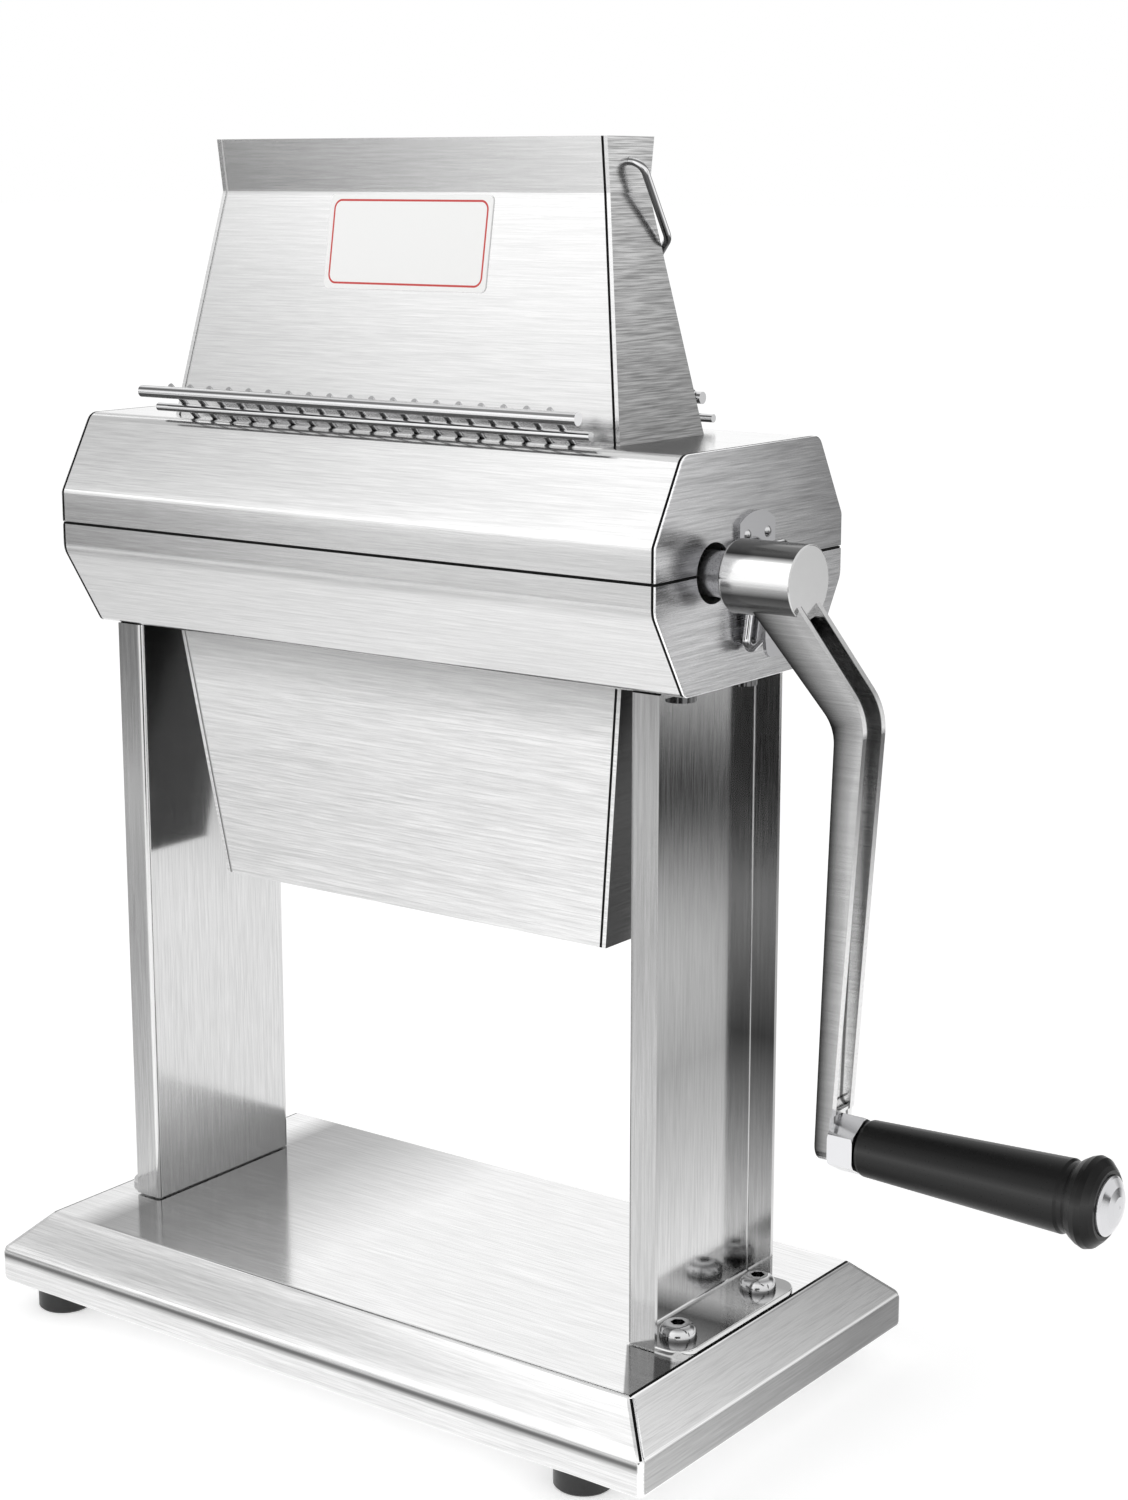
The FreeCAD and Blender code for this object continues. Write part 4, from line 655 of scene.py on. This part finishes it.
def card(name, place, towards, size, level, soft):
    """A card with soft edges beside the set, seen only in reflections.

    The level is its brightness, where white paper is 1. Soft is the share of its half width and of its half
    height that fades.
    """
    bpy.ops.object.select_all(action="DESELECT")
    bpy.ops.mesh.primitive_plane_add(size=2, location=place)
    plane = bpy.context.object
    plane.name = name
    plane.scale = (size[0] / 2, size[1] / 2, 1)
    plane.rotation_euler = Vector(towards).to_track_quat("Z", "Y").to_euler()
    material, tree, surface = shaded(name + "_card")
    axes = add(tree, "ShaderNodeSeparateXYZ", _0=add(tree, "ShaderNodeTexCoord").outputs["Object"])
    fades = []
    for output, share in zip(axes.outputs, soft):
        away = add(tree, "ShaderNodeMath", {"operation": "ABSOLUTE"}, _0=output)
        fades.append(add(tree, "ShaderNodeMapRange", {"interpolation_type": "SMOOTHSTEP"}, _0=away, _1=1.0,
                         _2=1.0 - share, _3=0.0, _4=1.0))
    cover = add(tree, "ShaderNodeMath", {"operation": "MULTIPLY"}, _0=fades[0], _1=fades[1])
    glow = add(tree, "ShaderNodeEmission", Color=(1, 1, 1, 1), Strength=level)
    clear = add(tree, "ShaderNodeBsdfTransparent")
    both = add(tree, "ShaderNodeMixShader", _0=cover, _1=clear, _2=glow)
    tree.links.new(both.outputs[0], surface)
    plane.data.materials.append(material)
    plane.visible_camera = False
    plane.visible_diffuse = False
    plane.visible_shadow = False


def standing_card(name, heading, rise, reach, level, soft, distance=1.2):
    """A card that stands round the set. Heading is in degrees from the front towards the left, rise upwards,
    and reach is the half width and half height that the set's middle sees."""
    turn, lift = math.radians(heading), math.radians(rise)
    away = Vector((-math.sin(turn) * math.cos(lift), -math.cos(turn) * math.cos(lift), math.sin(lift)))
    size = [2 * distance * math.tan(math.radians(angle)) for angle in reach]
    card(name, SET_MIDDLE + away * distance, -away, size, level, soft)


def floor_card(name, place, size, level, soft, height=0.001):
    """A card that lies on the floor, face up. Its place is measured from the stand's middle."""
    card(name, (place[0] + STAND_X, place[1], height), (0, 0, 1), size, level, soft)


def white_world():
    """Plain white to the eye and in reflections, and a softer level as light on matt things."""
    world = bpy.data.worlds.new("studio")
    bpy.context.scene.world = world
    world.use_nodes = True
    tree = world.node_tree
    tree.nodes.clear()
    path = add(tree, "ShaderNodeLightPath")
    seen = add(tree, "ShaderNodeMath", {"operation": "MAXIMUM"}, _0=path.outputs["Is Camera Ray"],
               _1=path.outputs["Is Glossy Ray"])
    seen = add(tree, "ShaderNodeMath", {"operation": "MAXIMUM"}, _0=seen,
               _1=path.outputs["Is Transmission Ray"])
    back = add(tree, "ShaderNodeBackground", Color=(1, 1, 1, 1),
               Strength=follow(tree, seen, (0, MATT_LIGHT), (1, 1.0)))
    output = add(tree, "ShaderNodeOutputWorld")
    tree.links.new(back.outputs[0], output.inputs["Surface"])


def camera():
    """The camera stands in front on the crank's side, at the height of the hopper's rim, and looks slightly
    down."""
    view = bpy.data.cameras.new("camera")
    view.sensor_fit = "VERTICAL"
    view.sensor_height = SENSOR
    view.sensor_width = SENSOR * PICTURE[0] / PICTURE[1]
    view.lens = 64.8
    view.clip_start = 0.05
    view.clip_end = 50
    eye = bpy.data.objects.new("camera", view)
    bpy.context.scene.collection.objects.link(eye)
    eye.location = CAMERA_PLACE
    eye.rotation_euler = (math.radians(90 - CAMERA_PITCH), 0, math.radians(CAMERA_HEADING))
    bpy.context.scene.camera = eye


camera()
white_world()
studio_floor()
key_lamp((-1.0, -1.3, 1.3), (0, 0, 0.2), 1.2, 4.5)
standing_card("front_white", 10, 20, (46, 40), 1.2, (1.0, 0.4))
standing_card("left_grey", 86, 15, (56, 40), 0.72, (1.0, 0.4), 1.3)
standing_card("front_glow", 38, 26, (30, 2.2), 1.7, (0.5, 0.8), 1.15)
standing_card("horizon_grey", 40, -8, (40, 9), 0.86, (0.3, 0.9), 1.1)
standing_card("horizon_dark", 54, -5, (18, 10), 0.35, (0.9, 0.9), 1.05)
standing_card("back_white", 148, 13, (25, 14), 1.14, (0.5, 0.5))
standing_card("overhead_glow", 125, 44, (30, 4), 1.7, (0.5, 0.8), 1.1)
standing_card("back_right_grey", -161, 10, (28, 24), 0.2, (0.9, 0.5), 1.1)
standing_card("front_right_black", -38, -12, (17, 9), 0.04, (0.4, 0.4), 0.8)
standing_card("right_black", -102, -3, (4, 21), 0.03, (0.4, 0.4))
floor_card("floor_white", (0.2, -0.35), (1.5, 1.2), 1.35, (1.0, 1.0))
floor_card("floor_grey", (-0.75, -0.25), (1.4, 0.9), 0.6, (1.0, 1.0), 0.002)
floor_card("floor_black", (0.74, 0.8), (1.1, 0.9), 0.05, (0.9, 0.9))
bpy.context.scene.view_settings.view_transform = "Standard"
